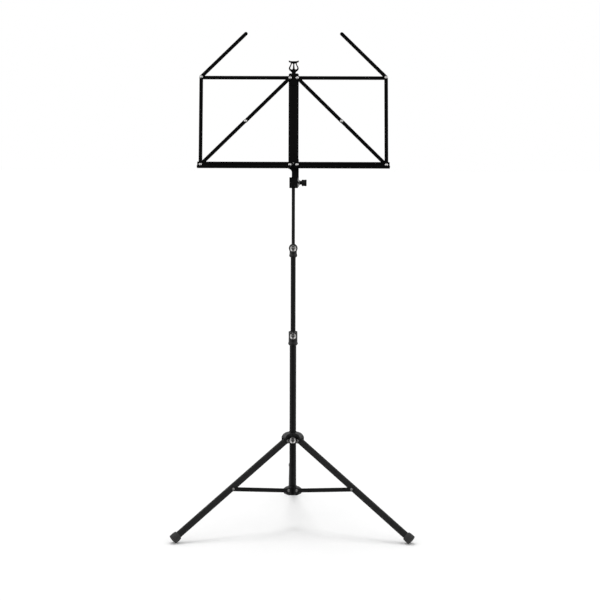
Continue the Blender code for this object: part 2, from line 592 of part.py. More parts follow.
def build_neck(desk):
    """The bracket under the plate: a flange behind the plate, and a cheek that turns on the tilt axis."""
    right = BLOCK_RIGHT + GAP + CHEEK_THICK
    rivet_z = PIVOT_LOW_Z + NECK_RIVET_RISE
    reach = NECK_LEFT - NECK_WIDE_LEFT
    curve = [(NECK_WIDE_LEFT + reach * x, NECK_STEP_Z - NECK_FILLET_HEIGHT * (1 - y))
             for x, y in arc((0, 0), 1, 90, 0, 6)]
    outline = [(NECK_LEFT, NECK_BOTTOM_Z), (right, NECK_BOTTOM_Z), (right, NECK_TOP_Z),
               (NECK_WIDE_LEFT, NECK_TOP_Z)] + curve
    outlines, behind = [outline, circle((0, rivet_z), RIVET_HOLE_R)], -CHEEK_THICK - GAP
    flange = desk_sheet("neck_bracket", outlines, behind, (0, 0), desk, CHEEK_THICK)
    # the tails of the two lower rivets stand in reliefs
    for tag, x in (("left", -PIVOT_X), ("right", PIVOT_X)):
        relief = flat(f"neck_relief_{tag}", [circle((x, PIVOT_LOW_Z), RIVET_HEAD_R + GAP)], 0.010, CUTTERS)
        cut(flange, place(relief, (0, PLATE_BACK, 0), (pi / 2, 0, 0), desk))
    # the cheek is drawn as (rearward, upward), then stood up in the desk's YZ plane
    front = PLATE_BACK + GAP + CHEEK_THICK / 2
    edge = arc((0, 0), CHEEK_R, -120, 60, 10) + [(front, NECK_STEP_Z), (front, NECK_BOTTOM_Z + 0.0004)]
    cheek = flat("neck_cheek", [edge, circle((0, 0), SCREW_HOLE_R, 14)], CHEEK_THICK, CUTTERS)
    join(flange, place(cheek, (right - CHEEK_THICK / 2, 0, 0), (pi / 2, 0, pi / 2), desk))
    start, end = -CHEEK_THICK - 2 * GAP, PLATE_THICK + GAP
    desk_rivet("neck_rivet", (0, rivet_z), desk, start, end, look="dark_metal")


def build_rail(side, sign, desk):
    """Half of the music shelf: back wall, shelf and lip in one folded sheet, round at its pivot end."""
    length = LINK + RAIL_OVERHANG
    # the section is drawn as (forward, up) and runs along X
    section = [(0, RAIL_LOW), (RAIL_DEPTH, RAIL_LOW), (RAIL_DEPTH, RAIL_LOW + RAIL_LIP),
               (RAIL_DEPTH - RAIL_SHEET, RAIL_LOW + RAIL_LIP),
               (RAIL_DEPTH - RAIL_SHEET, RAIL_LOW + RAIL_SHEET), (RAIL_SHEET, RAIL_LOW + RAIL_SHEET),
               (RAIL_SHEET, RAIL_HIGH), (0, RAIL_HIGH)]
    start = -RAIL_END_R
    rail = flat(f"rail_{side}", [section], length - start)
    origin = (sign * PIVOT_X, PLATE_BACK - LAYER_RAIL, PIVOT_LOW_Z)
    pivot = add_empty(f"rail_{side}_pivot", origin, (0, 0, 0), desk)
    place(rail, (sign * (length + start) / 2, 0, 0), (pi / 2, 0, -pi / 2), pivot, "black_paint")
    # only the back wall goes on past the pivot, to a round end
    far = 0.0200
    notch = block(f"rail_{side}_notch", (-far, -0.030, -far), (0, -RAIL_SHEET - 0.00001, far), CUTTERS)
    cut(rail, place(notch, (0 if sign > 0 else far, 0, 0), parent=pivot))
    upper = arc((0, 0), RAIL_END_R, 90, 180, 6)
    lower = [(x, z * RAIL_LOW / -RAIL_END_R) for x, z in arc((0, 0), RAIL_END_R, 195, 270, 5)]
    waste = upper + lower + [(0, -far), (-far, -far), (-far, far), (0, far)]
    rounding = flat(f"rail_{side}_rounding", [[(sign * x, z) for x, z in waste]], 0.010, CUTTERS)
    cut(rail, place(rounding, (0, 0, 0), (pi / 2, 0, 0), pivot))
    for tag, x in (("inner", 0), ("outer", sign * LINK)):
        name = f"rail_{side}_{tag}_hole"
        cut(rail, rod_cutter(name, RIVET_HOLE_R, 0.012, (x, 0, 0), (pi / 2, 0, 0), pivot, 12))


def build_wing(side, sign, desk):
    """One half of the folding frame: rail, top strip, side strip, two brace halves and the page holder."""
    outward = 0.0 if sign > 0 else pi
    low = (sign * PIVOT_X, PIVOT_LOW_Z)
    high = (low[0], PIVOT_LOW_Z + LINK)
    corner_low = (low[0] + sign * LINK, PIVOT_LOW_Z)
    corner_high = (corner_low[0], high[1])
    half = LINK / sqrt(2)
    middle = ((high[0] + corner_low[0]) / 2, (high[1] + corner_low[1]) / 2)
    build_rail(side, sign, desk)
    strip(f"top_strip_{side}", LINK, LAYER_TOP_STRIP, high, desk, outward)
    strip(f"side_strip_{side}", LINK, LAYER_SIDE_STRIP, corner_low, desk, pi / 2)
    down = radians(-45) if sign > 0 else radians(-135)
    strip(f"upper_brace_{side}", half, LAYER_UPPER_BRACE, high, desk, down)
    strip(f"lower_brace_{side}", half, LAYER_LOWER_BRACE, corner_low, desk, down + pi)
    inward = pi - HOLDER_ANGLE if sign > 0 else HOLDER_ANGLE
    strip(f"page_holder_{side}", HOLDER_LENGTH, LAYER_RAIL, corner_high, desk, inward, (0,))
    back, face = -GAP / 2, STRIP_THICK + GAP / 2
    desk_rivet(f"rivet_top_{side}", high, desk, back, LAYER_UPPER_BRACE + face)
    desk_rivet(f"rivet_bottom_{side}", low, desk, back, LAYER_RAIL + face,
               spacer=(PLATE_THICK - back, LAYER_RAIL + back))
    # the diagonal's two halves meet here only when open or folded, so this rivet stops short of the upper one
    tail = LAYER_LOWER_BRACE - LAYER_UPPER_BRACE - STRIP_THICK - GAP
    desk_rivet(f"rivet_middle_{side}", middle, desk, LAYER_LOWER_BRACE + back, LAYER_LOWER_BRACE + face, tail)
    desk_rivet(f"rivet_corner_low_{side}", corner_low, desk, LAYER_LOWER_BRACE + back, LAYER_RAIL + face)
    desk_rivet(f"rivet_corner_high_{side}", corner_high, desk, LAYER_TOP_STRIP + back, LAYER_RAIL + face,
               spacer=(LAYER_TOP_STRIP + face, LAYER_SIDE_STRIP + back))


def build_desk():
    desk = add_empty("desk_tilt", (0, 0, TILT_Z), (-TILT_ANGLE, 0, 0))
    build_plate(desk)
    build_neck(desk)
    for side, sign in (("right", 1), ("left", -1)):
        build_wing(side, sign, desk)


def shade():
    for obj in bpy.data.collections[COLLECTION].objects:
        if obj.type == "MESH":
            obj.data.shade_smooth()
            obj.data.set_sharp_from_angle(angle=radians(35))


def centre_footprint():
    """Moves the whole stand, guides included, so that the origin is under the middle of its footprint."""
    for obj in bpy.data.objects:
        if obj.parent is None:
            obj.location.y -= FOOTPRINT_MIDDLE_Y


def main():
    clear_scene()
    build_column()
    build_clamp("lower_clamp", LOWER_CLAMP_BOTTOM, LOWER_CLAMP_TOP, LOWER_R, MIDDLE_R,
                LOWER_SCREW_Z, LOWER_BOSS_R)
    build_clamp("upper_clamp", UPPER_CLAMP_BOTTOM, UPPER_CLAMP_TOP, MIDDLE_R, ROD_R,
                UPPER_SCREW_Z, UPPER_BOSS_R)
    build_tripod()
    build_tilt_block()
    build_tilt_knob()
    build_desk()
    centre_footprint()
    shade()


main()
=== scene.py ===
"""The looks of the folding music stand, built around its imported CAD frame.

Metres, +Z up. Every piece is drawn in a frame of its own: the column's, a leg's, a brace's or the desk's.
"""
import json
from math import asin, atan2, cos, hypot, pi, radians, sin, tau

import bmesh  # noqa: E402
import bpy  # noqa: E402
import numpy as np  # noqa: E402
from mathutils import Euler, Matrix, Vector  # noqa: E402
from mathutils.geometry import tessellate_polygon  # noqa: E402


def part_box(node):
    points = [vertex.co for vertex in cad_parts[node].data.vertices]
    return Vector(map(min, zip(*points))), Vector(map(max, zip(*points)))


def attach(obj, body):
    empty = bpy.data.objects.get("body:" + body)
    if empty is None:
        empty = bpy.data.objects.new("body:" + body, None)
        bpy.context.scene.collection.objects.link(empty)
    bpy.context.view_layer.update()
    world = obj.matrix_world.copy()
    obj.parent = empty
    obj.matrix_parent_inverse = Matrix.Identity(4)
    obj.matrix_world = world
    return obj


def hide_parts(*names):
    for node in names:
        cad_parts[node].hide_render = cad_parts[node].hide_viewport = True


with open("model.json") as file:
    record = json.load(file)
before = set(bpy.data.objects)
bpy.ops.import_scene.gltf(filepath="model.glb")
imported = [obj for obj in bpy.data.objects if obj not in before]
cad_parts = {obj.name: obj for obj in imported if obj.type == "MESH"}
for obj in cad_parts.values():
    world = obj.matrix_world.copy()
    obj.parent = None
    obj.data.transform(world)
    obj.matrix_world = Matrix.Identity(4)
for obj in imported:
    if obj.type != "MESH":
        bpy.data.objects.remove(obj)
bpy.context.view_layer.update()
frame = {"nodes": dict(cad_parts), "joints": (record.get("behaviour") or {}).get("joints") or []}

JOINTS = {joint["name"]: joint for joint in frame["joints"]}
COLUMN = Vector((*JOINTS["rod_swivel"]["pos_m"][:2], 0.0))
SIDES = ("right", "left")
LEGS = ("right", "left", "rear")

GAP = 0.0003

# Column
LOWER_R, LOWER_WALL = 0.0080, 0.0010
MIDDLE_R, MIDDLE_WALL = 0.0060, 0.0008
ROD_R, ROD_WALL = 0.0040, 0.0010
CLAMP_LID = 0.0022
CLAMP_WALL, CLAMP_FOOT = 0.0027, 0.0011
CLAMP_BOSS_FRONT = 0.0155
LOWER_BOSS_R, UPPER_BOSS_R = 0.0098, 0.0105
COLLAR_BOSS_FRONT = 0.0175
SCREW_R, SCREW_HOLE_R = 0.0025, 0.0028
KNOB_R, KNOB_LENGTH, KNURLS, KNURL_DEPTH = 0.0077, 0.0090, 40, 0.00042

# Tripod, in a leg's upright plane: radius from the column's axis and height
LEG_AZIMUTHS = {"right": radians(-30), "left": radians(210), "rear": radians(90)}
LEG_R, LEG_WALL = 0.0080, 0.0012
LEG_ANGLE = radians(55.9)
FOOT_R, FOOT_LENGTH, FOOT_POCKET, FOOT_SINK = 0.0117, 0.0172, 0.0125, 0.0014
BRACE_ON_LEG = 0.1800
BRACE_WIDTH, BRACE_THICK = 0.0100, 0.0016
BRACE_SIDES = {"right": 1, "left": -1, "rear": -1}
PIN_R, PIN_HOLE_R, PIN_HEAD_R, PIN_HEAD_H = 0.0020, 0.0023, 0.0040, 0.0014
BRACE_HEAD_R, BRACE_HEAD_H = 0.0038, 0.0013
FOOT_RIBS, FOOT_RIB_STEP, FOOT_RIB_DEPTH = 3, 0.0030, 0.0006
HUB_R, HUB_LUG_R, HUB_LUG_HALF, HUB_FLOOR = 0.0118, 0.0217, 0.0080, 0.0025
COLLAR_R, HOOD_OUT_R, HOOD_HALF, HOOD_SLOT_HALF = 0.0120, 0.0262, 0.0100, 0.0083
# a hood's top, from its middle outwards: radius, and how far it is below the collar's top
HOOD_TOP = ((0.0030, 0.0), (0.0100, 0.0), (0.0130, 0.0006), (0.0180, 0.0022), (0.0220, 0.0048),
            (0.0248, 0.0082), (HOOD_OUT_R, 0.0112))

# Desk, in its own upright frame with the tilt axis at the origin
PLATE_BACK = -0.0160
PLATE_HALF, PLATE_THICK = 0.0120, 0.0016
PLATE_BOTTOM_Z, PLATE_TOP_Z = 0.0300, 0.2618
STRIP_WIDTH, STRIP_THICK = 0.0088, 0.0012
HOLDER_LENGTH, HOLDER_ANGLE = 0.1496, radians(45)
RAIL_LOW, RAIL_HIGH, RAIL_DEPTH, RAIL_LIP, RAIL_SHEET = -0.0094, 0.0066, 0.0160, 0.0042, 0.0012
RAIL_OVERHANG, RAIL_END_R = 0.0075, 0.0082
LYRE_HEIGHT = 0.0318
RIB_HALF, RIB_DEPTH, RIB_FROM_BOTTOM, RIB_FROM_TOP = 0.0064, 0.0008, 0.0360, 0.0300
RIVET_R, RIVET_HOLE_R, RIVET_HEAD_R, RIVET_HEAD_H, SPACER_R = 0.0015, 0.0018, 0.0035, 0.0009, 0.0036
LAYER_TOP_STRIP, LAYER_UPPER_BRACE, LAYER_LOWER_BRACE = 0.0019, 0.0034, 0.0063
LAYER_SIDE_STRIP, LAYER_RAIL = 0.0078, 0.0093
BLOCK_LEFT, BLOCK_RIGHT, BLOCK_HALF_DEPTH, ROD_IN_BLOCK = -0.0096, 0.0109, 0.0100, 0.0080
BLOCK_SLANT, WINDOW_HALF, WINDOW_SPRING = 22, 0.0048, 0.0022
CHEEK_THICK, CHEEK_R = 0.0016, 0.0105
NECK_LEFT, NECK_WIDE_LEFT, NECK_RIVET_RISE = -0.0039, -0.0090, 0.0040
NECK_BOTTOM_Z, NECK_STEP_Z, NECK_TOP_Z, NECK_FILLET_HEIGHT = 0.0094, 0.0290, 0.0535, 0.0080
TILT_KNOB_R, TILT_KNOB_LOBES, TILT_KNOB_LOBE_DEPTH = 0.0086, 5, 0.0016

# How fine the pieces are
ROUND = 96                # facets round a tube
FINE = 48                 # facets round a rivet
EDGE = 0.00032            # rounding of a sheet's edges
EDGE_STEPS = 3
PROUD_TO_EDGE = 9.0       # edge value per voxel that a moulding's point stands out, before the cap at one

# Cutters, long enough to pass through what they cut
CROSS_CUT = 0.0300        # for a pin's or a screw's hole
CORE_CUT = 0.0600         # for a tube's bore


# Frames


def at(offset=(0, 0, 0), turn=(0, 0, 0), base=None):
    """The frame at an offset and a turn, in degrees about X, Y and Z, from a base frame."""
    angles = Euler([radians(angle) for angle in turn])
    local = Matrix.Translation(offset) @ angles.to_matrix().to_4x4()
    return base @ local if base else local


COLUMN_FRAME = at(COLUMN)
FACING_FRONT = (90, 0, 0)      # turns +Z to the front, -Y
FACING_RIGHT = (0, 90, 0)


def spoke_frame(side):
    return at(COLUMN, (0, 0, LEG_AZIMUTHS[side] * 180 / pi))


def pivot_in_plane(joint, side):
    """Radius and height of a leg's or brace's pivot in its own upright plane."""
    place = Vector(JOINTS[joint]["pos_m"]) - COLUMN
    azimuth = LEG_AZIMUTHS[side]
    return place.x * cos(azimuth) + place.y * sin(azimuth), place.z


TILT_AXIS = Vector(JOINTS["desk_tilt"]["pos_m"])
FRONT = Vector(JOINTS["rail_right_fold"]["axis"])       # the way the desk faces
DESK_FRAME = at(TILT_AXIS, (-asin(FRONT.z) * 180 / pi, 0, 0))


def on_desk(joint):
    """A desk pivot's place across and up, in the desk's own frame."""
    local = DESK_FRAME.inverted() @ Vector(JOINTS[joint]["pos_m"])
    return local.x, local.z


# Meshes


def signed_area(loop):
    return sum(a[0] * b[1] - b[0] * a[1] for a, b in zip(loop, loop[1:] + loop[:1])) / 2


def arc(centre, radius, start, end, steps):
    angles = [radians(start + (end - start) * i / steps) for i in range(steps + 1)]
    return [(centre[0] + radius * cos(a), centre[1] + radius * sin(a)) for a in angles]


def circle(centre, radius, steps=32):
    return arc(centre, radius, 0, 360, steps)[:-1]


def soften(points, radius, closed=False, steps=4):
    """Rounds each corner of a line, by up to the radius and up to half of its shorter side."""
    count = len(points)
    smooth = []
    for i, corner in enumerate(points):
        if not closed and i in (0, count - 1):
            smooth.append(tuple(corner))
            continue
        here = Vector(corner)
        back, ahead = Vector(points[i - 1]) - here, Vector(points[(i + 1) % count]) - here
        reach = min(radius, back.length * 0.48, ahead.length * 0.48)
        first, last = here + back.normalized() * reach, here + ahead.normalized() * reach
        for k in range(steps + 1):
            t = k / steps
            smooth.append(tuple(first * (1 - t) ** 2 + here * (2 * t * (1 - t)) + last * t ** 2))
    return smooth


def flowing(loop, rounds=3):
    """A closed loop of straight sides turned into one smooth curve by cutting its corners."""
    for _ in range(rounds):
        cut = []
        for a, b in zip(loop, loop[1:] + loop[:1]):
            cut.append((a[0] * 0.75 + b[0] * 0.25, a[1] * 0.75 + b[1] * 0.25))
            cut.append((a[0] * 0.25 + b[0] * 0.75, a[1] * 0.25 + b[1] * 0.75))
        loop = cut
    return loop


def to_object(name, mesh):
    bmesh.ops.recalc_face_normals(mesh, faces=mesh.faces)
    data = bpy.data.meshes.new(name)
    mesh.to_mesh(data)
    mesh.free()
    obj = bpy.data.objects.new(name, data)
    bpy.context.scene.collection.objects.link(obj)
    return obj


def lathe(name, profile, steps=ROUND, rim=None):
    """A solid turned about Z. The profile runs from the axis to the axis, or round a bore."""
    mesh = bmesh.new()
    edge = mesh.verts.layers.float.new("edge")
    rings = []
    for i, (radius, z) in enumerate(profile):
        if radius < 1e-7:
            ring = [mesh.verts.new((0, 0, z))] * steps
        else:
            ring = []
            for k in range(steps):
                angle = tau * k / steps
                reach = rim(angle, radius, z) if rim else radius
                ring.append(mesh.verts.new((reach * cos(angle), reach * sin(angle), z)))
        bend = profile_bend(profile, i)
        for vert in set(ring):
            vert[edge] = bend
        rings.append(ring)
    pairs = list(zip(rings, rings[1:]))
    if profile[0][0] > 1e-7:
        pairs.append((rings[-1], rings[0]))
    for one, other in pairs:
        for k in range(steps):
            n = (k + 1) % steps
            corners = list(dict.fromkeys((one[k], one[n], other[n], other[k])))
            mesh.faces.new(corners)
    return to_object(name, mesh)


def profile_bend(profile, i):
    """How sharply a profile turns at a point, from 0 to 1."""
    if i in (0, len(profile) - 1):
        return 0.0
    before = Vector(profile[i]) - Vector(profile[i - 1])
    after = Vector(profile[i + 1]) - Vector(profile[i])
    if before.length < 1e-9 or after.length < 1e-9:
        return 0.0
    return min(1.0, abs(before.angle_signed(after)) / radians(25))


def tube_profile(inner, outer, low, high, edge=0.0003):
    """A straight tube with slightly rounded ends, as a closed profile."""
    return soften([(outer, high), (outer, low), (inner, low), (inner, high)], edge, True, 3)


def inset(loop, distance):
    """A closed loop moved to its left by a distance."""
    moved = []
    for i, point in enumerate(loop):
        here = Vector(point)
        one = (here - Vector(loop[i - 1])).normalized()
        two = (Vector(loop[(i + 1) % len(loop)]) - here).normalized()
        left_one, left_two = Vector((-one.y, one.x)), Vector((-two.y, two.x))
        share = 1 + left_one.dot(left_two)
        move = (left_one + left_two) / max(share, 0.2)
        moved.append(tuple(here + move * distance))
    return moved


def sheet(name, outline, holes=(), thick=STRIP_THICK, edge=EDGE):
    """Flat stock in XY with rounded edges, centred on its thickness."""
    loops = [outline if signed_area(outline) > 0 else outline[::-1]]
    loops += [hole if signed_area(hole) < 0 else hole[::-1] for hole in holes]
    mesh = bmesh.new()
    edge_layer = mesh.verts.layers.float.new("edge")
    caps = {-1: [], 1: []}
    for loop in loops:
        levels = []
        for side in (-1, 1):
            turns = [i / EDGE_STEPS * pi / 2 for i in range(EDGE_STEPS + 1)]
            for turn in (turns if side > 0 else turns[::-1]):
                depth = edge * (1 - cos(turn))
                height = side * (thick / 2 - edge + edge * sin(turn))
                levels.append((depth, height, sin(2 * turn)))
        rings = []
        for depth, height, bend in levels:
            ring = [mesh.verts.new((x, y, height)) for x, y in inset(loop, depth)]
            for vert in ring:
                vert[edge_layer] = bend
            rings.append(ring)
        for one, other in zip(rings, rings[1:]):
            for k in range(len(loop)):
                n = (k + 1) % len(loop)
                mesh.faces.new((one[k], one[n], other[n], other[k]))
        caps[-1].append(rings[0])
        caps[1].append(rings[-1])
    for rings in caps.values():
        flat = [vert for ring in rings for vert in ring]
        for corners in tessellate_polygon([[vert.co for vert in ring] for ring in rings]):
            mesh.faces.new([flat[i] for i in corners])
    return to_object(name, mesh)


def prism(name, low, high):
    """A plain box, used only to cut with or to start a rounded body from."""
    mesh = bmesh.new()
    bmesh.ops.create_cube(mesh, size=1.0)
    size = Vector(high) - Vector(low)
    bmesh.ops.scale(mesh, vec=size, verts=mesh.verts)
    bmesh.ops.translate(mesh, vec=(Vector(high) + Vector(low)) / 2, verts=mesh.verts)
    return to_object(name, mesh)


def rod(radius, length, steps=64):
    """A straight cutter along Z, centred on the origin."""
    half = length / 2
    return lathe("cutter", [(0, half), (radius, half), (radius, -half), (0, -half)], steps)


def domed(radius, base, height, steps=8):
    """The line of a rivet's or pin's domed head, from its crown outwards."""
    return [(radius * sin(a), base + height * cos(a)) for a in (i * pi / (2 * steps) for i in range(steps))]


def move(obj, matrix):
    obj.data.transform(matrix)
    return obj


def settle(obj):
    """Makes what the modifiers give into the object's own mesh."""
    view = bpy.context.evaluated_depsgraph_get()
    data = bpy.data.meshes.new_from_object(obj.evaluated_get(view))
    old = obj.data
    obj.modifiers.clear()
    obj.data = data
    bpy.data.meshes.remove(old)
    data.name = obj.name
    return obj


def combine(obj, tools, operation):
    for tool in tools:
        step = obj.modifiers.new("combine", "BOOLEAN")
        step.operation, step.solver, step.object = operation, "EXACT", tool
    settle(obj)
    for tool in tools:
        bpy.data.objects.remove(tool)
    return obj


def carve(obj, *tools):
    return combine(obj, tools, "DIFFERENCE")


def fuse(obj, *tools):
    return combine(obj, tools, "UNION")


def mould(obj, voxel, rounds):
    """Gives a body the even rounding of a moulding, and marks its outer edges."""
    remesh = obj.modifiers.new("remesh", "REMESH")
    remesh.mode, remesh.voxel_size, remesh.use_smooth_shade = "VOXEL", voxel, True
    ease = obj.modifiers.new("ease", "SMOOTH")
    ease.factor, ease.iterations = 0.5, rounds
    settle(obj)
    mark_edges(obj.data, voxel)
    return obj


def mark_edges(data, spacing):
    """Writes how far each point stands out from its neighbours as the edge value."""
    count = len(data.vertices)
    place = np.empty(count * 3)
    data.vertices.foreach_get("co", place)
    place = place.reshape(-1, 3)
    normal = np.empty(count * 3)
    data.vertices.foreach_get("normal", normal)
    normal = normal.reshape(-1, 3)
    ends = np.empty(len(data.edges) * 2, int)
    data.edges.foreach_get("vertices", ends)
    ends = ends.reshape(-1, 2)
    total, near = np.zeros((count, 3)), np.zeros(count)
    for one, other in ((0, 1), (1, 0)):
        np.add.at(total, ends[:, one], place[ends[:, other]])
        np.add.at(near, ends[:, one], 1)
    proud = -((total / np.maximum(near, 1)[:, None] - place) * normal).sum(1) / spacing
    layer = data.attributes.get("edge") or data.attributes.new("edge", "FLOAT", "POINT")
    layer.data.foreach_set("value", np.clip(proud * PROUD_TO_EDGE, 0, 1).astype(np.float32))


def finish(obj, body, look, slot, *nodes, crisp=35, matrix=None):
    """Shades a piece, gives it its material and joins it to its body."""
    if matrix:
        move(obj, matrix)
    obj.data.shade_smooth()
    if crisp:
        obj.data.set_sharp_from_angle(angle=radians(crisp))
        even = obj.modifiers.new("even", "WEIGHTED_NORMAL")
        even.keep_sharp = True
        settle(obj)
    obj.data.materials.clear()
    obj.data.materials.append(look)
    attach(obj, body)
    if nodes:
        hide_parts(*nodes)
    return obj


# Materials


class Nodes:
    """Adds nodes to a tree and joins them by short calls."""

    def __init__(self, tree):
        self.nodes, self.links = tree.nodes, tree.links

    def feed(self, socket, value):
        """Sets a socket to a number or colour, or joins another node's output to it."""
        if isinstance(value, bpy.types.NodeSocket):
            self.links.new(value, socket)
        else:
            socket.default_value = value

    def span(self, value, low, high, start, end, kind="LINEAR"):
        """Maps low..high of a value to start..end."""
        node = self.nodes.new("ShaderNodeMapRange")
        node.interpolation_type = kind
        self.feed(node.inputs["Value"], value)
        for key, number in (("From Min", low), ("From Max", high), ("To Min", start), ("To Max", end)):
            self.feed(node.inputs[key], number)
        return node.outputs["Result"]

    def math(self, operation, one, other):
        node = self.nodes.new("ShaderNodeMath")
        node.operation = operation
        self.feed(node.inputs[0], one)
        self.feed(node.inputs[1], other)
        return node.outputs[0]


class Look(Nodes):
    """A procedural material around one shader."""

    def __init__(self, name, roughness=0.5, metallic=0.0, specular=0.5):
        self.material = bpy.data.materials.new(name)
        self.material.use_nodes = True
        super().__init__(self.material.node_tree)
        self.shader = self.nodes["Principled BSDF"]
        self.shader.inputs["Roughness"].default_value = roughness
        self.shader.inputs["Metallic"].default_value = metallic
        self.shader.inputs["Specular IOR Level"].default_value = specular
        self.place = self.nodes.new("ShaderNodeTexCoord").outputs["Object"]

    def noise(self, scale, detail=2.0, rough=0.5, stretch=None):
        node = self.nodes.new("ShaderNodeTexNoise")
        node.inputs["Scale"].default_value = scale
        node.inputs["Detail"].default_value = detail
        node.inputs["Roughness"].default_value = rough
        source = self.place
        if stretch:
            mapping = self.nodes.new("ShaderNodeMapping")
            mapping.inputs["Scale"].default_value = stretch
            self.links.new(source, mapping.inputs["Vector"])
            source = mapping.outputs["Vector"]
        self.links.new(source, node.inputs["Vector"])
        return node.outputs["Fac"]

    def cells(self, scale):
        node = self.nodes.new("ShaderNodeTexVoronoi")
        node.inputs["Scale"].default_value = scale
        self.links.new(self.place, node.inputs["Vector"])
        return node.outputs["Distance"]

    def edge(self):
        node = self.nodes.new("ShaderNodeAttribute")
        node.attribute_name = "edge"
        return node.outputs["Fac"]

    def blend(self, share, one, other):
        node = self.nodes.new("ShaderNodeMix")
        node.data_type = "RGBA"
        factor, a, b = node.inputs[0], node.inputs[6], node.inputs[7]
        self.feed(factor, share)
        for socket, value in ((a, one), (b, other)):
            self.feed(socket, (*value, 1.0) if isinstance(value, tuple) else value)
        return node.outputs[2]

    def colour(self, value):
        self.links.new(value, self.shader.inputs["Base Color"])

    def roughness(self, value):
        self.links.new(value, self.shader.inputs["Roughness"])

    def bump(self, *layers):
        """Stacks bump layers, each a height and its depth in metres."""
        last = None
        for height, depth in layers:
            node = self.nodes.new("ShaderNodeBump")
            node.inputs["Strength"].default_value = 1.0
            node.inputs["Distance"].default_value = depth
            self.links.new(height, node.inputs["Height"])
            if last:
                self.links.new(last, node.inputs["Normal"])
            last = node.outputs["Normal"]
        self.links.new(last, self.shader.inputs["Normal"])


def grey(value, warm=0.0):
    return (value * (1 + warm), value, value * (1 - warm))


def powder_coat(name, base, roughness, grain, depth, warm=0.0, specular=0.22, wear_and_highlight=0.5):
    """Satin black powder coat: fine orange peel, a faint mottle, and lighter edges, partly paint thinned by
    wear and partly a painted highlight.
    """
    look = Look(name, roughness, 0.0, specular)
    peel = look.noise(grain, 3.0, 0.55)
    mottle = look.noise(grain * 0.16, 4.0, 0.6)
    speck = look.cells(grain * 0.55)
    patches = look.span(mottle, 0.35, 0.68, 0.0, 1.0)
    coat = look.blend(patches, grey(base * 0.78, warm), grey(base * 1.35, warm))
    coat = look.blend(look.span(speck, 0.05, 0.22, 0.45, 0.0), coat, grey(base * 2.1, warm))
    # Lighter colour on the outer edges: partly wear, partly a painted edge highlight.
    wear_and_highlight_mask = look.math("MULTIPLY", look.edge(), look.span(look.noise(95.0, 4.0, 0.7), 0.46, 0.74, 0.0, wear_and_highlight))
    look.colour(look.blend(wear_and_highlight_mask, coat, grey(base * 3.6 + 0.008, warm)))
    rough = look.span(mottle, 0.3, 0.7, roughness - 0.06, roughness + 0.08)
    look.roughness(look.math("SUBTRACT", rough, look.math("MULTIPLY", wear_and_highlight_mask, 0.12)))
    look.bump((mottle, depth * 1.6), (peel, depth), (speck, depth * 0.6))
    return look.material


def moulded(name, base, roughness, specular=0.25):
    """Moulded plastic: a fine spark-eroded grain, slight flow marks, and polished edges painted lighter,
    partly as rubbing and partly as a painted highlight.
    """
    look = Look(name, roughness, 0.0, specular)
    grain = look.noise(2400.0, 2.0, 0.6)
    flow = look.noise(70.0, 3.0, 0.55, (1.0, 1.0, 2.6))
    body = look.blend(look.span(flow, 0.35, 0.68, 0.0, 1.0), grey(base * 0.85), grey(base * 1.25))
    # Lighter colour on the outer edges: partly rubbing, partly a painted edge highlight.
    rub_and_highlight = look.math("MULTIPLY", look.edge(), look.span(look.noise(160.0, 3.0, 0.6), 0.35, 0.7, 0.15, 0.8))
    look.colour(look.blend(rub_and_highlight, body, grey(base * 2.6 + 0.008)))
    rough = look.span(flow, 0.3, 0.7, roughness - 0.05, roughness + 0.07)
    look.roughness(look.math("SUBTRACT", rough, look.math("MULTIPLY", rub_and_highlight, 0.14)))
    look.bump((flow, 0.00012), (grain, 0.00005))
    return look.material


def plated(name, base, roughness):
    """Nickel plate over turned steel: faint tool marks, cloudy polish and scattered dark traces."""
    look = Look(name, roughness, 1.0)
    cloud = look.noise(420.0, 4.0, 0.6)
    marks = look.noise(5200.0, 2.0, 0.5)
    stain = look.noise(900.0, 3.0, 0.65)
    polish = look.span(cloud, 0.35, 0.7, 0.0, 1.0)
    body = look.blend(polish, grey(base * 0.86, 0.012), grey(base * 1.06, 0.02))
    look.colour(look.blend(look.span(stain, 0.60, 0.78, 0.0, 0.55), body, grey(base * 0.45, 0.03)))
    look.roughness(look.span(cloud, 0.3, 0.7, roughness - 0.05, roughness + 0.10))
    look.bump((cloud, 0.00003), (marks, 0.000012))
    return look.material


def rubbery(name, base):
    """Dull rubber: a soft pebble, pale scuffs on the edges and a little dust near the floor."""
    look = Look(name, 0.78, 0.0, 0.35)
    pebble = look.noise(1500.0, 3.0, 0.6)
    cloud = look.noise(130.0, 4.0, 0.6)
    body = look.blend(look.span(cloud, 0.35, 0.68, 0.0, 1.0), grey(base * 0.8), grey(base * 1.3))
    scuff = look.math("MULTIPLY", look.edge(), look.span(look.noise(220.0, 4.0, 0.7), 0.40, 0.66, 0.1, 0.9))
    body = look.blend(scuff, body, grey(base * 2.6))
    split = look.nodes.new("ShaderNodeSeparateXYZ")
    look.links.new(look.place, split.inputs[0])
    low = look.span(split.outputs["Z"], 0.0, 0.012, 0.5, 0.0)
    dust = look.math("MULTIPLY", low, look.span(look.noise(340.0, 4.0, 0.7), 0.4, 0.7, 0.0, 1.0))
    look.colour(look.blend(dust, body, grey(0.16, 0.04)))
    look.roughness(look.span(cloud, 0.3, 0.7, 0.70, 0.88))
    look.bump((cloud, 0.0002), (pebble, 0.00008))
    return look.material


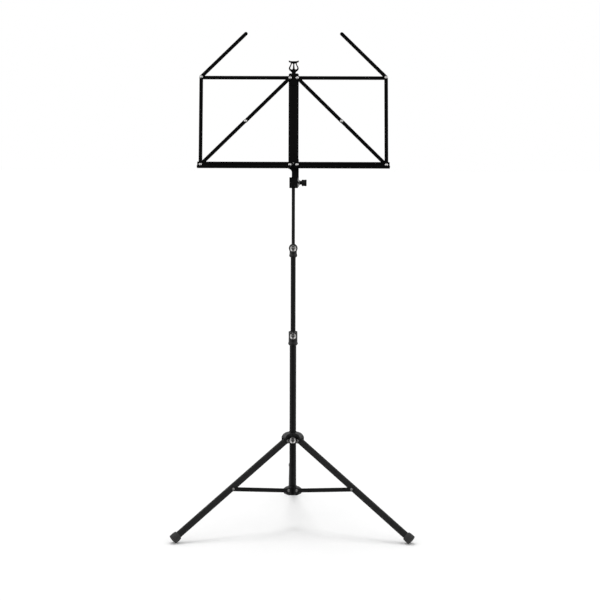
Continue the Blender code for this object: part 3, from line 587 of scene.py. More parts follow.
PAINT = powder_coat("satin_black_paint", 0.0056, 0.40, 1900.0, 0.00005, specular=0.12)
LEG_PAINT = powder_coat("textured_black_paint", 0.0080, 0.50, 900.0, 0.00022, specular=0.16, wear_and_highlight=0.6)
BRACE_PAINT = powder_coat("brace_black_paint", 0.0038, 0.42, 1900.0, 0.00005, specular=0.10, wear_and_highlight=0.4)
DESK_PAINT = powder_coat("desk_black_paint", 0.0014, 0.42, 1900.0, 0.00004, specular=0.04, wear_and_highlight=0.2)
PLATE_PAINT = powder_coat("plate_black_paint", 0.0020, 0.44, 1500.0, 0.00005, warm=0.08, specular=0.05,
                          wear_and_highlight=0.25)
PLASTIC = moulded("black_moulding", 0.0022, 0.34, 0.20)
CLAMP_PLASTIC = moulded("clamp_moulding", 0.0080, 0.38, 0.27)
PALE_PLASTIC = moulded("natural_moulding", 0.52, 0.50, 0.5)
NICKEL = plated("nickel_plate", 0.64, 0.22)
TURNED_STEEL = plated("turned_steel", 0.42, 0.19)
DARK_STEEL = plated("blackened_steel", 0.20, 0.32)
RUBBER = rubbery("foot_rubber", 0.019)


# Column


def bottom(node):
    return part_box(node)[0].z


def top(node):
    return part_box(node)[1].z


def middle_height(node):
    return (bottom(node) + top(node)) / 2


def build_tube(node, body, radius, wall, look, hole_at=None):
    tube = lathe(node + "_shell", tube_profile(radius - wall, radius, bottom(node), top(node)))
    if hole_at:
        carve(tube, move(rod(SCREW_HOLE_R, radius * 2), at((0, -radius, hole_at), FACING_FRONT)))
    finish(tube, body, look, "black_paint", node, matrix=COLUMN_FRAME)


def screw_way(height):
    """Cuts a thumb screw's hole, from the column's axis to the front."""
    return move(rod(SCREW_HOLE_R, CROSS_CUT), at((0, -CROSS_CUT / 2, height), FACING_FRONT))


def build_clamp(node, body, tube, below, above, screw, boss_r):
    """A moulded sleeve on a tube's top: a waist over a wider foot, and a round boss for the screw."""
    low, high, screw_at = bottom(node), top(tube) + GAP + CLAMP_LID, middle_height(screw)
    outer = below + CLAMP_WALL
    foot = outer + CLAMP_FOOT
    sleeve = soften([(0, high), (outer - 0.0008, high), (outer, high - 0.0012), (outer, low + 0.0076),
                     (foot, low + 0.0056), (foot, low + 0.0032), (foot - 0.0022, low), (0, low)], 0.0009)
    clamp = lathe(node + "_moulding", sleeve)
    front = CLAMP_BOSS_FRONT
    boss = soften([(0, front), (boss_r - 0.0010, front), (boss_r, front - 0.0011), (boss_r, 0.0020),
                   (0, 0.0020)], 0.0006)
    fuse(clamp, move(lathe("boss", boss), at((0, 0, screw_at), FACING_FRONT)))
    bore_length = high - CLAMP_LID - low + 0.004
    dish = soften([(0, 0.0020), (0.0080, 0.0020), (0.0080, 0.0), (0.0066, -0.0009), (0, -0.0009)], 0.0005)
    carve(clamp,
          move(rod(below + GAP, bore_length, ROUND), at((0, 0, high - CLAMP_LID - bore_length / 2))),
          move(rod(above + GAP, high - low, ROUND), at((0, 0, high))),
          screw_way(screw_at),
          move(lathe("dish", dish), at((0, -front, screw_at), FACING_FRONT)))
    mould(clamp, voxel=0.00034, rounds=5)
    finish(clamp, body, CLAMP_PLASTIC, "black_plastic", node, crisp=0, matrix=COLUMN_FRAME)


def build_thumb_screw(node, body, tip, seat):
    """A turned and knurled head with a dished face, and its shank."""
    rim = seat + KNOB_LENGTH
    face = soften([(0, rim - 0.0013), (0.0020, rim - 0.0015), (0.0036, rim - 0.0018),
                   (0.0041, rim - 0.0018), (0.0067, rim - 0.0003), (0.0070, rim),
                   (KNOB_R - 0.0003, rim), (KNOB_R - 0.0001, rim - 0.0004)], 0.0003)
    grip = [(KNOB_R, z) for z in (rim - 0.0014, rim - 0.0030, seat + 0.0044, seat + 0.0032)]
    under = soften([(KNOB_R - 0.0006, seat + 0.0026), (0.0056, seat + 0.0018), (0.0048, seat + 0.0012),
                    (0.0045, seat), (SCREW_R, seat), (SCREW_R, tip + 0.0008), (SCREW_R - 0.0008, tip),
                    (0, tip)], 0.0004)

    def knurl(angle, radius, z):
        inside = seat + 0.0030 < z < rim - 0.0012 and radius > KNOB_R - 0.0001
        return radius - KNURL_DEPTH * (0.5 - 0.5 * cos(KNURLS * angle)) if inside else radius

    screw = lathe(node + "_turned", face + grip + under, KNURLS * 6, knurl)
    place = at((0, 0, middle_height(node)), FACING_FRONT, COLUMN_FRAME)
    finish(screw, body, TURNED_STEEL, "bright_metal", node, matrix=place)


def build_column():
    lower_screw, upper_screw = middle_height("lower_clamp_screw"), middle_height("upper_clamp_screw")
    build_tube("lower_tube", "base", LOWER_R, LOWER_WALL, PAINT, lower_screw)
    build_tube("middle_tube", "middle", MIDDLE_R, MIDDLE_WALL, PAINT, upper_screw)
    build_tube("top_rod", "rod", ROD_R, ROD_WALL, PAINT)
    build_clamp("lower_clamp", "base", "lower_tube", LOWER_R, MIDDLE_R, "lower_clamp_screw", LOWER_BOSS_R)
    build_clamp("upper_clamp", "middle", "middle_tube", MIDDLE_R, ROD_R, "upper_clamp_screw", UPPER_BOSS_R)
    build_thumb_screw("lower_clamp_screw", "lower_screw", MIDDLE_R + GAP, CLAMP_BOSS_FRONT + GAP)
    build_thumb_screw("upper_clamp_screw", "upper_screw", ROD_R + GAP, CLAMP_BOSS_FRONT + GAP)
    build_thumb_screw("leg_collar_screw", "collar_screw", LOWER_R + GAP, COLLAR_BOSS_FRONT + GAP)
    for node in ("middle_tube_bush", "top_rod_bush"):
        obj = frame["nodes"][node]
        obj.data.materials.clear()
        obj.data.materials.append(PALE_PLASTIC)


# Tripod


def pin_profile(start, end, radius, head, height, tail=0.0010):
    """A pin along Z with a domed head above end and a clenched tail below start."""
    line = [(head, end + height * 0.12), (head, end), (radius, end), (radius, start), (head * 0.78, start),
            (head * 0.78, start - tail * 0.5), (head * 0.5, start - tail), (0, start - tail)]
    return domed(head, end, height) + soften(line, 0.0002)


def build_leg(side):
    pivot_r, pivot_z = pivot_in_plane(f"leg_{side}_fold", side)
    body = f"leg_{side}"
    length = (pivot_z - (FOOT_R * sin(LEG_ANGLE) - FOOT_SINK)) / cos(LEG_ANGLE)
    spoke = spoke_frame(side)
    leg_frame = at((pivot_r, 0, pivot_z), (0, 180 - LEG_ANGLE * 180 / pi, 0), spoke)
    end = length - (FOOT_LENGTH - FOOT_POCKET) - GAP
    bore = LEG_R - LEG_WALL
    dome = [(LEG_R * cos(radians(a)), -LEG_R * sin(radians(a))) for a in range(0, 61, 6)]
    mouth = [(bore * cos(radians(58)), -bore * sin(radians(58))), (bore, 0)]
    tube = lathe(f"leg_{side}_shell", [(LEG_R, end)] + dome + mouth + [(bore, end)])
    carve(tube, move(rod(PIN_HOLE_R, CROSS_CUT), at((0, 0, 0), FACING_FRONT)))
    finish(tube, body, LEG_PAINT, "black_paint", f"leg_{side}", matrix=leg_frame)
    build_foot(side, leg_frame, length)
    head = HOOD_HALF + GAP
    pin = lathe(f"leg_pin_{side}", pin_profile(-head, head, PIN_R, PIN_HEAD_R, PIN_HEAD_H), FINE)
    turn = (BRACE_SIDES[side] * 90, 0, 0)
    finish(pin, "collar", DARK_STEEL, "dark_metal", f"leg_pivot_pin_{side}",
           matrix=at((pivot_r, 0, pivot_z), turn, spoke))


def build_foot(side, leg_frame, length):
    """A ribbed rubber cap with a rolled mouth, flat where it stands on the floor."""
    low, pocket = length - FOOT_LENGTH, LEG_R + GAP
    outer = [(FOOT_R - 0.0016, length), (FOOT_R - 0.0003, length - 0.0004), (FOOT_R, length - 0.0014)]
    for rib in range(FOOT_RIBS):
        z = length - 0.0036 - rib * FOOT_RIB_STEP
        outer += [(FOOT_R, z + 0.0007), (FOOT_R - FOOT_RIB_DEPTH, z), (FOOT_R, z - 0.0007)]
    outer += [(FOOT_R - 0.0001, low + 0.0056), (FOOT_R - 0.0008, low + 0.0034),
              (FOOT_R - 0.0006, low + 0.0018), (FOOT_R - 0.0012, low + 0.0003), (pocket + 0.0012, low),
              (pocket, low + 0.0006)]
    inner = [(pocket, low + FOOT_POCKET), (0, low + FOOT_POCKET)]
    face = [(0, length - 0.0006), (0.0030, length - 0.0006), (0.0036, length), (0.0062, length),
            (0.0068, length - 0.0006), (0.0086, length - 0.0006), (0.0092, length)]
    foot = lathe(f"foot_cap_{side}", soften(face + outer + inner, 0.0005))
    move(foot, leg_frame)
    carve(foot, prism("floor_cut", (-1, -1, -0.1), (1, 1, 0.0)))
    finish(foot, f"leg_{side}", RUBBER, "foot_rubber", f"foot_{side}", crisp=40)


def strip_outline(length, width):
    half = width / 2
    return arc((length, 0), half, -90, 90, 20) + arc((0, 0), half, 90, 270, 20)


def build_brace(side):
    hub_r, hub_z = pivot_in_plane(f"brace_{side}_fold", side)
    leg_r, leg_z = pivot_in_plane(f"leg_{side}_fold", side)
    run = leg_r + BRACE_ON_LEG * sin(LEG_ANGLE) - hub_r
    rise = leg_z - BRACE_ON_LEG * cos(LEG_ANGLE) - hub_z
    length, slope = hypot(run, rise), atan2(rise, run) * 180 / pi
    inside = HUB_LUG_HALF + GAP
    outside = inside + BRACE_THICK
    brace_frame = at((hub_r, 0, hub_z), (BRACE_SIDES[side] * 90, -slope, 0), spoke_frame(side))
    holes = [circle((0, 0), PIN_HOLE_R), circle((length, 0), PIN_HOLE_R)]
    strip = sheet(f"brace_{side}_strip", strip_outline(length, BRACE_WIDTH), holes, BRACE_THICK, 0.0005)
    finish(strip, f"brace_{side}", BRACE_PAINT, "black_paint", f"brace_{side}",
           matrix=at((0, 0, (inside + outside) / 2), (0, 0, 0), brace_frame))
    start, seat = inside - GAP / 2, outside + GAP / 2
    head, height = BRACE_HEAD_R, BRACE_HEAD_H
    stub = [(head, seat + height * 0.12), (head, seat), (PIN_R, seat), (PIN_R, start), (0, start)]
    rivet = lathe(f"brace_{side}_rivet", domed(head, seat, height) + soften(stub, 0.0002), FINE)
    finish(rivet, f"brace_{side}", DARK_STEEL, "dark_metal", f"brace_rivet_{side}",
           matrix=at((length, 0, 0), (0, 0, 0), brace_frame))
    through = lathe(f"hub_{side}_rivet", pin_profile(-(HUB_LUG_HALF + GAP), seat, PIN_R, head, height), FINE)
    finish(through, "base", DARK_STEEL, "dark_metal", f"hub_rivet_{side}", matrix=brace_frame)


def upright(obj, side):
    """Stands a piece drawn as radius and height in its leg's upright plane, about the origin."""
    return move(obj, at(turn=(90, 0, 0), base=at(turn=(0, 0, LEG_AZIMUTHS[side] * 180 / pi))))


def pin_way(joint, side):
    """Cuts the hole of a pin that crosses a leg's upright plane."""
    return upright(move(rod(PIN_HOLE_R, CROSS_CUT), at((*pivot_in_plane(joint, side), 0))), side)


def build_hub():
    low, high = bottom("base_hub"), top("base_hub")
    profile = soften([(0, high), (HUB_R - 0.0010, high), (HUB_R, high - 0.0010), (HUB_R, low + 0.0030),
                      (HUB_R - 0.0030, low), (0, low)], 0.0014)
    hub = lathe("hub_moulding", profile)
    for side in LEGS:
        pivot_r, pivot_z = pivot_in_plane(f"brace_{side}_fold", side)
        outline = [(0.0040, low + 0.0006), (0.0150, low + 0.0014), (0.0200, low + 0.0036),
                   (HUB_LUG_R, low + 0.0070)]
        outline += arc((pivot_r, pivot_z), HUB_LUG_R - pivot_r, 0, 65, 12)
        outline += [(0.0130, high - 0.0010), (0.0040, high - 0.0010)]
        fuse(hub, upright(sheet("lug", outline, (), HUB_LUG_HALF * 2, 0.0010), side))
    tube_way = move(rod(LOWER_R + GAP, CORE_CUT, ROUND), at((0, 0, low + HUB_FLOOR + CORE_CUT / 2)))
    carve(hub, tube_way, *[pin_way(f"brace_{side}_fold", side) for side in LEGS])
    mould(hub, voxel=0.00042, rounds=6)
    finish(hub, "base", PLASTIC, "black_plastic", "base_hub", crisp=0, matrix=COLUMN_FRAME)


def build_collar():
    low, high = bottom("leg_collar"), top("leg_collar")
    screw_at = middle_height("leg_collar_screw")
    profile = soften([(0, high), (COLLAR_R - 0.0006, high), (COLLAR_R, high - 0.0010),
                      (COLLAR_R, low + 0.0010), (COLLAR_R - 0.0006, low), (0, low)], 0.0010)
    collar = lathe("collar_moulding", profile)
    hood_top = [HOOD_TOP[0]] + soften(HOOD_TOP[1:-1], 0.0020) + [HOOD_TOP[-1]]
    hood = [(radius, high - drop) for radius, drop in hood_top]
    hood += [(HOOD_OUT_R, low + 0.0060), (HOOD_OUT_R - 0.0050, low), (0.0030, low)]
    for side in LEGS:
        fuse(collar, upright(sheet("hood", hood, (), HOOD_HALF * 2, 0.0012), side))
    front = COLLAR_BOSS_FRONT
    boss = soften([(0, front), (0.0062, front), (0.0070, front - 0.0008), (0.0070, 0.0020),
                   (0, 0.0020)], 0.0004)
    fuse(collar, move(lathe("boss", boss), at((0, 0, screw_at), FACING_FRONT)))
    cutters = []
    clear, far = LEG_R + GAP, 0.0500
    for side in LEGS:
        pivot_r, pivot_z = pivot_in_plane(f"leg_{side}_fold", side)
        pocket = arc((pivot_r, pivot_z), clear, 60, 180, 24)
        pocket += [(pivot_r - clear, low - 0.010), (far, low - 0.010), (far, low - 0.0007),
                   (far, pivot_z - 0.0058)]
        cutters.append(upright(sheet("pocket", pocket, (), HOOD_SLOT_HALF * 2, 0.0002), side))
        cutters.append(pin_way(f"leg_{side}_fold", side))
    cutters.append(move(rod(LOWER_R + GAP, CORE_CUT, ROUND), at((0, 0, low + 0.015))))
    cutters.append(screw_way(screw_at))
    carve(collar, *cutters)
    mould(collar, voxel=0.00040, rounds=5)
    finish(collar, "collar", PLASTIC, "black_plastic", "leg_collar", crisp=0, matrix=COLUMN_FRAME)


def build_tripod():
    for side in LEGS:
        build_leg(side)
        build_brace(side)
    build_hub()
    build_collar()


# Head


def build_tilt_block():
    low, high, deep = bottom("tilt_block"), top("tilt_block"), BLOCK_HALF_DEPTH
    block = prism("tilt_block_moulding", (BLOCK_LEFT, -deep, low), (BLOCK_RIGHT, deep, high))
    slant = prism("slant", (0, -0.02, -0.02), (0.02, 0.02, 0.0))
    move(slant, at((BLOCK_RIGHT - 0.0012, 0, low), (0, BLOCK_SLANT, 0)))
    half, spring = WINDOW_HALF, WINDOW_SPRING
    arch = [(-half, -0.004), (half, -0.004), (half, spring)] + arc((0, spring), half, 10, 170, 12)
    arch += [(-half, spring)]
    window = move(sheet("window", arch, (), 0.0100, 0.0002), at((0, -deep, low), FACING_FRONT))
    depth = ROD_IN_BLOCK + 0.004
    rod_way = move(rod(ROD_R + GAP, depth, ROUND), at((0, 0, low + ROD_IN_BLOCK - depth / 2)))
    knob_way = move(rod(SCREW_HOLE_R, 0.0200), at((0.0142, 0, TILT_AXIS.z), FACING_RIGHT))
    carve(block, slant, window, rod_way, knob_way)
    mould(block, voxel=0.00036, rounds=9)
    finish(block, "rod", PLASTIC, "black_plastic", "tilt_block", crisp=0, matrix=COLUMN_FRAME)


def build_tilt_knob():
    head_frame = at((0, 0, TILT_AXIS.z), FACING_RIGHT, COLUMN_FRAME)
    washer_low, washer_high = (corner.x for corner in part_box("tilt_washer"))
    washer = lathe("tilt_washer_ring", tube_profile(SCREW_HOLE_R, 0.0070, washer_low, washer_high, 0.0002))
    finish(washer, "tilt_knob", NICKEL, "bright_metal", "tilt_washer", matrix=head_frame)
    start = washer_high + GAP
    neck = start + 0.0056
    tip, end = (corner.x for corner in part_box("tilt_knob"))
    low_r = TILT_KNOB_R - 0.0030
    face = [(0, end - 0.0016), (0.0030, end - 0.0016), (0.0042, end - 0.0004), (0.0050, end),
            (low_r + 0.0010, end)]
    grip = []
    steps = 12
    for i in range(steps + 1):
        t = i / steps
        swell = sin(pi * min(1.0, 0.10 + t * 0.80)) ** 0.35
        waist = 0.0007 * (1 - abs(2 * t - 1)) ** 1.5
        grip.append((TILT_KNOB_R * (0.90 + 0.10 * swell) - waist, end - 0.0004 - t * (end - neck - 0.0008)))
    stem = [(0.0062, neck + 0.0001), (0.0048, neck - 0.0005), (0.0042, neck - 0.0022),
            (0.0050, start + 0.0022), (0.0066, start + 0.0010), (0.0066, start), (SCREW_R, start),
            (SCREW_R, tip + 0.0006), (SCREW_R - 0.0006, tip), (0, tip)]

    def lobes(angle, radius, z):
        share = min(1.0, max(0.0, (radius - 0.0052) / (TILT_KNOB_R - 0.0052)))
        share *= 1.0 if z > neck - 0.0001 else 0.0
        return radius - share * TILT_KNOB_LOBE_DEPTH * (0.5 - 0.5 * cos(TILT_KNOB_LOBES * angle))

    profile = soften(face, 0.0006) + grip + soften(stem, 0.0008)
    knob = lathe("tilt_knob_moulding", profile, TILT_KNOB_LOBES * 24, lobes)
    finish(knob, "tilt_knob", PLASTIC, "black_plastic", "tilt_knob", crisp=40, matrix=head_frame)


# Desk


def desk_sheet(name, outline, holes, layer, origin, angle=0.0, thick=STRIP_THICK, edge=EDGE):
    """A piece cut from sheet that faces the musician, turned up from +X by the angle."""
    piece = sheet(name, outline, holes, thick, edge)
    y = PLATE_BACK - layer - thick / 2
    return move(piece, at((origin[0], y, origin[1]), (90, -angle, 0), DESK_FRAME))


def strip(node, length, layer, origin, angle, holes=(0, 1)):
    cuts = [circle((length * share, 0), RIVET_HOLE_R) for share in holes]
    piece = desk_sheet(node + "_steel", strip_outline(length, STRIP_WIDTH), cuts, layer, origin, angle)
    finish(piece, node, DESK_PAINT, "black_paint", node)


def desk_rivet(name, body, origin, start, end, tail=0.0004, spacer=None, node=None,
               look=NICKEL, slot="bright_metal"):
    """A domed rivet, with an optional wide shoulder between two layers."""
    line = [(RIVET_HEAD_R, end + RIVET_HEAD_H * 0.1), (RIVET_HEAD_R, end), (RIVET_R, end)]
    if spacer:
        low, high, wide = spacer
        line += [(RIVET_R, high), (wide, high), (wide, low), (RIVET_R, low)]
    back = RIVET_HEAD_R * 0.8
    line += [(RIVET_R, start), (back, start), (back, start - tail), (0, start - tail)]
    rivet = lathe(name, domed(RIVET_HEAD_R, end, RIVET_HEAD_H, 10) + soften(line, 0.00012), FINE)
    matrix = at((origin[0], PLATE_BACK, origin[1]), FACING_FRONT, DESK_FRAME)
    finish(rivet, body, look, slot, *([node] if node else []), matrix=matrix)


def build_plate():
    """The upright of the desk, with a shallow rib pressed to the rear, and the lyre behind its top."""
    low, high, corner = PLATE_BOTTOM_Z, PLATE_TOP_Z, 0.0022
    outline = [(-PLATE_HALF, low), (PLATE_HALF, low), (PLATE_HALF, high - corner),
               (PLATE_HALF - corner, high), (corner - PLATE_HALF, high), (-PLATE_HALF, high - corner)]
    low_x, low_z = on_desk("rail_right_fold")
    high_z = on_desk("top_strip_right_fold")[1]
    holes = [circle((x, z), RIVET_HOLE_R) for x in (-low_x, low_x) for z in (low_z, high_z)]
    holes.append(circle((0, low_z + NECK_RIVET_RISE), RIVET_HOLE_R))
    plate = sheet("center_plate_pressing", soften(outline, 0.0010, True), holes, PLATE_THICK, 0.0005)
    press_rib(plate, low + RIB_FROM_BOTTOM, high - RIB_FROM_TOP, RIB_HALF, RIB_DEPTH)
    move(plate, at((0, PLATE_BACK - PLATE_THICK / 2, 0), FACING_FRONT, DESK_FRAME))
    finish(plate, "desk", PLATE_PAINT, "black_paint", "center_plate")
    loops = [flowing(loop) for loop in lyre_loops()]
    lyre = desk_sheet("lyre_finial_casting", loops[0], loops[1:], -PLATE_THICK - GAP, (0, high + GAP), 0.0,
                      PLATE_THICK, 0.0006)
    finish(lyre, "desk", DESK_PAINT, "black_paint", "lyre_finial")


def press_rib(plate, low, high, half, depth):
    """Presses a long shallow rib into a flat sheet, towards its back."""
    mesh = bmesh.new()
    mesh.from_mesh(plate.data)
    soft = 0.0030
    lines = [(Vector((x, 0, 0)), Vector((1, 0, 0))) for x in np.linspace(-half - soft, half + soft, 17)]
    ends = [*np.linspace(low - soft, low + soft, 7), *np.linspace(high - soft, high + soft, 7)]
    lines += [(Vector((0, z, 0)), Vector((0, 1, 0))) for z in ends]
    for place, normal in lines:
        everything = mesh.verts[:] + mesh.edges[:] + mesh.faces[:]
        bmesh.ops.bisect_plane(mesh, geom=everything, plane_co=place, plane_no=normal, dist=1e-7)
    for vert in mesh.verts:
        across = smooth_step((half + soft / 2 - abs(vert.co.x)) / soft)
        along = smooth_step(min(vert.co.y - low, high - vert.co.y) / soft + 0.5)
        vert.co.z -= depth * across * along
    mesh.to_mesh(plate.data)
    mesh.free()


def smooth_step(t):
    t = min(1.0, max(0.0, t))
    return t * t * (3 - 2 * t)


def lyre_loops():
    """A small lyre: two curved arms and a middle post between a neck and a bar with turned-up ends."""
    height = LYRE_HEIGHT
    bar = height - 0.0052
    arm = [(0.0045, 0.0004), (0.0052, 0.0034), (0.0090, 0.0064), (0.0114, 0.0094), (0.0120, 0.0124),
           (0.0114, 0.0152), (0.0094, 0.0190), (0.0074, 0.0228), (0.0072, bar)]
    tip = [(0.0098, bar + 0.0002), (0.0122, bar + 0.0018), (0.0122, height), (0.0118, height),
           (0.0106, height), (0.0086, height - 0.0012), (0.0045, height - 0.0016)]
    right = [(0.0045, -0.0150), (0.0045, -0.0144), (0.0045, -0.0012)] + arm + tip
    opening = [(0.0048, 0.0244), (0.0046, 0.0226), (0.0064, 0.0188), (0.0082, 0.0148), (0.0084, 0.0124),
               (0.0074, 0.0108), (0.0054, 0.0100), (0.0034, 0.0104), (0.0022, 0.0120), (0.0017, 0.0185),
               (0.0014, 0.0244)]
    outline = right + [(-x, z) for x, z in reversed(right)]
    return [outline, opening, [(-x, z) for x, z in opening]]


def build_neck():
    """The bracket that carries the plate: a flange behind it, and a cheek on the tilt axis."""
    right = BLOCK_RIGHT + GAP + CHEEK_THICK
    low_x, low_z = on_desk("rail_right_fold")
    rivet_z = low_z + NECK_RIVET_RISE
    reach = NECK_LEFT - NECK_WIDE_LEFT
    fillet = [(NECK_WIDE_LEFT + reach * x, NECK_STEP_Z - NECK_FILLET_HEIGHT * (1 - y))
              for x, y in arc((0, 0), 1, 90, 0, 14)]
    outline = [(NECK_LEFT, NECK_BOTTOM_Z), (right, NECK_BOTTOM_Z), (right, NECK_TOP_Z),
               (NECK_WIDE_LEFT, NECK_TOP_Z)] + fillet
    rivet_hole, knob_hole = circle((0, rivet_z), RIVET_HOLE_R), circle((0, 0), SCREW_HOLE_R)
    flange = sheet("neck_bracket_pressing", outline, [rivet_hole], CHEEK_THICK, 0.0002)
    front = PLATE_BACK + GAP + CHEEK_THICK / 2
    move(flange, at((0, front, 0), FACING_FRONT))
    cheek_outline = arc((0, 0), CHEEK_R, -120, 60, 30)
    cheek_outline += [(front, NECK_STEP_Z), (front, NECK_BOTTOM_Z + 0.0004)]
    cheek = sheet("cheek", cheek_outline, [knob_hole], CHEEK_THICK, 0.0002)
    fuse(flange, move(cheek, at((right - CHEEK_THICK / 2, 0, 0), (90, 0, 90))))
    carve(flange, *[move(rod(RIVET_HEAD_R + GAP, 0.010), at((x, PLATE_BACK, low_z), FACING_FRONT))
                    for x in (-low_x, low_x)])
    mould(flange, voxel=0.00030, rounds=5)
    finish(flange, "desk", PLATE_PAINT, "black_paint", "neck_bracket", crisp=0, matrix=DESK_FRAME)
    desk_rivet("neck_rivet_turned", "desk", (0, rivet_z), -CHEEK_THICK - 2 * GAP, PLATE_THICK + GAP,
               node="neck_rivet", look=DARK_STEEL, slot="dark_metal")


def build_rail(side, sign, link):
    """Half of the music shelf, folded from one sheet with rounded bends and a rolled lip."""
    node = f"rail_{side}"
    inner, outer_r = RAIL_SHEET * 0.5, RAIL_SHEET * 1.5
    back, front = 0.0, RAIL_DEPTH
    low, lip, high, wall = RAIL_LOW, RAIL_LOW + RAIL_LIP, RAIL_HIGH, RAIL_SHEET
    hem = wall / 2
    section = arc((outer_r, low + outer_r), outer_r, 180, 270, 6)
    section += arc((front - outer_r, low + outer_r), outer_r, -90, 0, 6)
    section += arc((front - hem, lip - hem), hem, 0, 180, 8)
    section += arc((front - wall - inner, low + wall + inner), inner, 0, -90, 4)
    section += arc((wall + inner, low + wall + inner), inner, -90, -180, 4)
    section += soften([(wall, high - 0.002), (wall, high), (back, high), (back, high - 0.002)], 0.0003,
                      steps=3)
    length = link + RAIL_OVERHANG
    start = -RAIL_END_R
    rail = sheet(node + "_folded", section, (), length - start, 0.0002)
    origin = on_desk(f"rail_{side}_fold")
    move(rail, at((sign * (length + start) / 2, 0, 0), (90, 0, -90)))
    reach = 0.020
    near, far = (-reach, 0.0) if sign > 0 else (0.0, reach)
    notch = prism("notch", (near, -0.030, -reach), (far, -wall - 0.00001, reach))
    upper = arc((0, 0), RAIL_END_R, 90, 180, 20)
    lower = [(x, z * RAIL_LOW / -RAIL_END_R) for x, z in arc((0, 0), RAIL_END_R, 184, 270, 20)]
    edge = [(x * sign, z) for x, z in upper + lower]
    corner = [(0.0, -reach), (sign * -reach, -reach), (sign * -reach, reach), (0.0, reach)]
    rounding = move(sheet("rounding", edge + corner, (), 0.010, 0.00001), at((0, 0, 0), FACING_FRONT))
    holes = [move(rod(RIVET_HOLE_R, 0.012), at((x, 0, 0), FACING_FRONT)) for x in (0.0, sign * link)]
    carve(rail, notch, rounding, *holes)
    matrix = at((origin[0], PLATE_BACK - LAYER_RAIL, origin[1]), (0, 0, 0), DESK_FRAME)
    finish(rail, node, DESK_PAINT, "black_paint", node, matrix=matrix)


def build_wing(side, sign):
    low, high = on_desk(f"rail_{side}_fold"), on_desk(f"top_strip_{side}_fold")
    corner_low, corner_high = on_desk(f"side_strip_{side}_fold"), on_desk(f"page_holder_{side}_swing")
    link = high[1] - low[1]
    half = hypot(corner_low[0] - high[0], high[1] - corner_low[1]) / 2
    centre = ((high[0] + corner_low[0]) / 2, (high[1] + corner_low[1]) / 2)
    outward = 0 if sign > 0 else 180
    down = -45 if sign > 0 else -135
    inward = 180 - HOLDER_ANGLE * 180 / pi if sign > 0 else HOLDER_ANGLE * 180 / pi
    build_rail(side, sign, link)
    strip(f"top_strip_{side}", link, LAYER_TOP_STRIP, high, outward)
    strip(f"side_strip_{side}", link, LAYER_SIDE_STRIP, corner_low, 90)
    strip(f"upper_brace_{side}", half, LAYER_UPPER_BRACE, high, down)
    strip(f"lower_brace_{side}", half, LAYER_LOWER_BRACE, corner_low, down + 180)
    strip(f"page_holder_{side}", HOLDER_LENGTH, LAYER_RAIL, corner_high, inward, (0,))
    face = STRIP_THICK + GAP / 2
    back = -GAP / 2
    desk_rivet(f"top_rivet_{side}", "desk", high, back, LAYER_UPPER_BRACE + face, node=f"rivet_top_{side}")
    desk_rivet(f"bottom_rivet_{side}", "desk", low, back, LAYER_RAIL + face, node=f"rivet_bottom_{side}",
               spacer=(PLATE_THICK - back, LAYER_RAIL + back, SPACER_R))
    desk_rivet(f"middle_rivet_{side}", f"lower_brace_{side}", centre, LAYER_LOWER_BRACE + back,
               LAYER_LOWER_BRACE + face, LAYER_LOWER_BRACE - LAYER_UPPER_BRACE - STRIP_THICK - GAP,
               node=f"rivet_middle_{side}")
    desk_rivet(f"low_corner_rivet_{side}", f"rail_{side}", corner_low, LAYER_LOWER_BRACE + back,
               LAYER_RAIL + face, node=f"rivet_corner_low_{side}")
    desk_rivet(f"high_corner_rivet_{side}", f"top_strip_{side}", corner_high, LAYER_TOP_STRIP + back,
               LAYER_RAIL + face, spacer=(LAYER_TOP_STRIP + face, LAYER_SIDE_STRIP + back, SPACER_R),
               node=f"rivet_corner_high_{side}")


def build_desk():
    build_plate()
    build_neck()
    for side, sign in zip(SIDES, (1, -1)):
        build_wing(side, sign)


# Studio


# What gloss sees of the room: its walls, and soft boxes to the left, the right and high in front. A row says
# along which axis a box fades in, from where to where, and its strength; one row ends the high box overhead.
ROOM = 0.10
SOFT_BOXES = (("X", -0.30, -0.65, 1.10), ("X", 0.30, 0.65, 1.10), ("Z", 0.12, 0.42, 1.20),
              ("Z", 0.60, 0.80, -1.20), ("Y", 0.20, 0.70, 0.05))
FLOOR_HALF = 60.0
SUN_STRENGTH, SUN_SPREAD, SUN_TURN = 1.05, radians(30), (radians(-18), radians(-4), 0)
CAMERA_FROM_COLUMN, CAMERA_DOWN, CAMERA_ROLL = (0.0166, -3.349, 0.9108), 6.068, 0.17
SENSOR_WIDTH_MM, LENS_MM = 36.0, 83.98


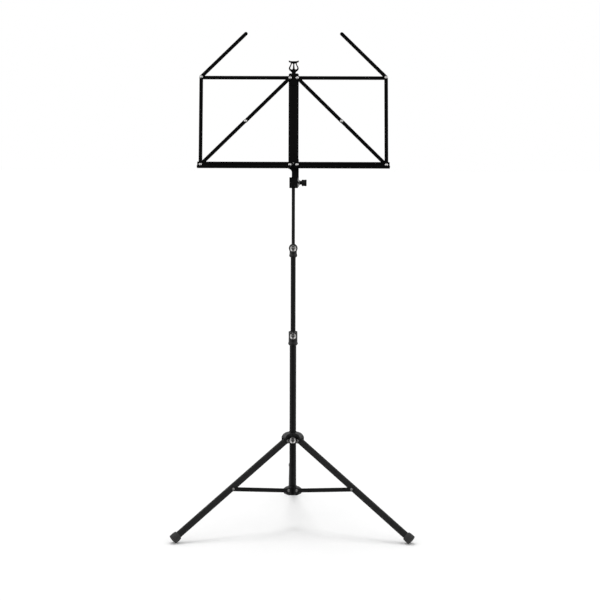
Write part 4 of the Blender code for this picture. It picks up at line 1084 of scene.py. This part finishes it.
def build_sky(tree):
    """White all round, but gloss sees the dim room and its soft boxes."""
    sky = Nodes(tree)
    plain, room = tree.nodes["Background"], tree.nodes.new("ShaderNodeBackground")
    sky.feed(plain.inputs["Color"], (1.0, 1.0, 1.0, 1.0))
    way = tree.nodes.new("ShaderNodeSeparateXYZ")
    sky.feed(way.inputs[0], tree.nodes.new("ShaderNodeTexCoord").outputs["Generated"])
    level = ROOM
    for axis, low, high, strength in SOFT_BOXES:
        level = sky.math("ADD", sky.span(way.outputs[axis], low, high, 0.0, strength, "SMOOTHSTEP"), level)
    sky.feed(room.inputs["Strength"], level)
    mix = tree.nodes.new("ShaderNodeMixShader")
    glossy = tree.nodes.new("ShaderNodeLightPath").outputs["Is Glossy Ray"]
    for socket, value in zip(mix.inputs, (glossy, plain.outputs[0], room.outputs[0])):
        sky.feed(socket, value)
    sky.feed(tree.nodes["World Output"].inputs["Surface"], mix.outputs[0])


def build_studio():
    scene = bpy.context.scene
    scene.view_settings.view_transform = "Standard"
    world = bpy.data.worlds.new("studio")
    world.use_nodes = True
    scene.world = world
    build_sky(world.node_tree)

    mesh = bmesh.new()
    bmesh.ops.create_grid(mesh, x_segments=2, y_segments=2, size=FLOOR_HALF)
    floor = to_object("floor", mesh)
    paper = Look("paper_floor", 0.9, 0.0, 0.0)
    fibre = paper.noise(6.0, 3.0)
    paper.colour(paper.blend(paper.span(fibre, 0.3, 0.7, 0.0, 1.0), grey(0.792), grey(0.806)))
    floor.data.materials.append(paper.material)
    floor.visible_glossy = False       # gloss sees the room there too

    lamp = bpy.data.lights.new("overhead", "SUN")
    lamp.energy = SUN_STRENGTH
    lamp.angle = SUN_SPREAD
    overhead = bpy.data.objects.new("overhead", lamp)
    overhead.rotation_euler = Euler(SUN_TURN)
    scene.collection.objects.link(overhead)

    lens = bpy.data.cameras.new("camera")
    lens.sensor_width = SENSOR_WIDTH_MM
    lens.lens = LENS_MM
    camera = bpy.data.objects.new("camera", lens)
    camera.location = COLUMN + Vector(CAMERA_FROM_COLUMN)
    aim = at(turn=(0, 0, CAMERA_ROLL), base=at(turn=(90 - CAMERA_DOWN, 0, 0)))
    camera.rotation_euler = aim.to_euler()
    scene.collection.objects.link(camera)
    scene.camera = camera


build_column()
build_tripod()
build_tilt_block()
build_tilt_knob()
build_desk()
build_studio()
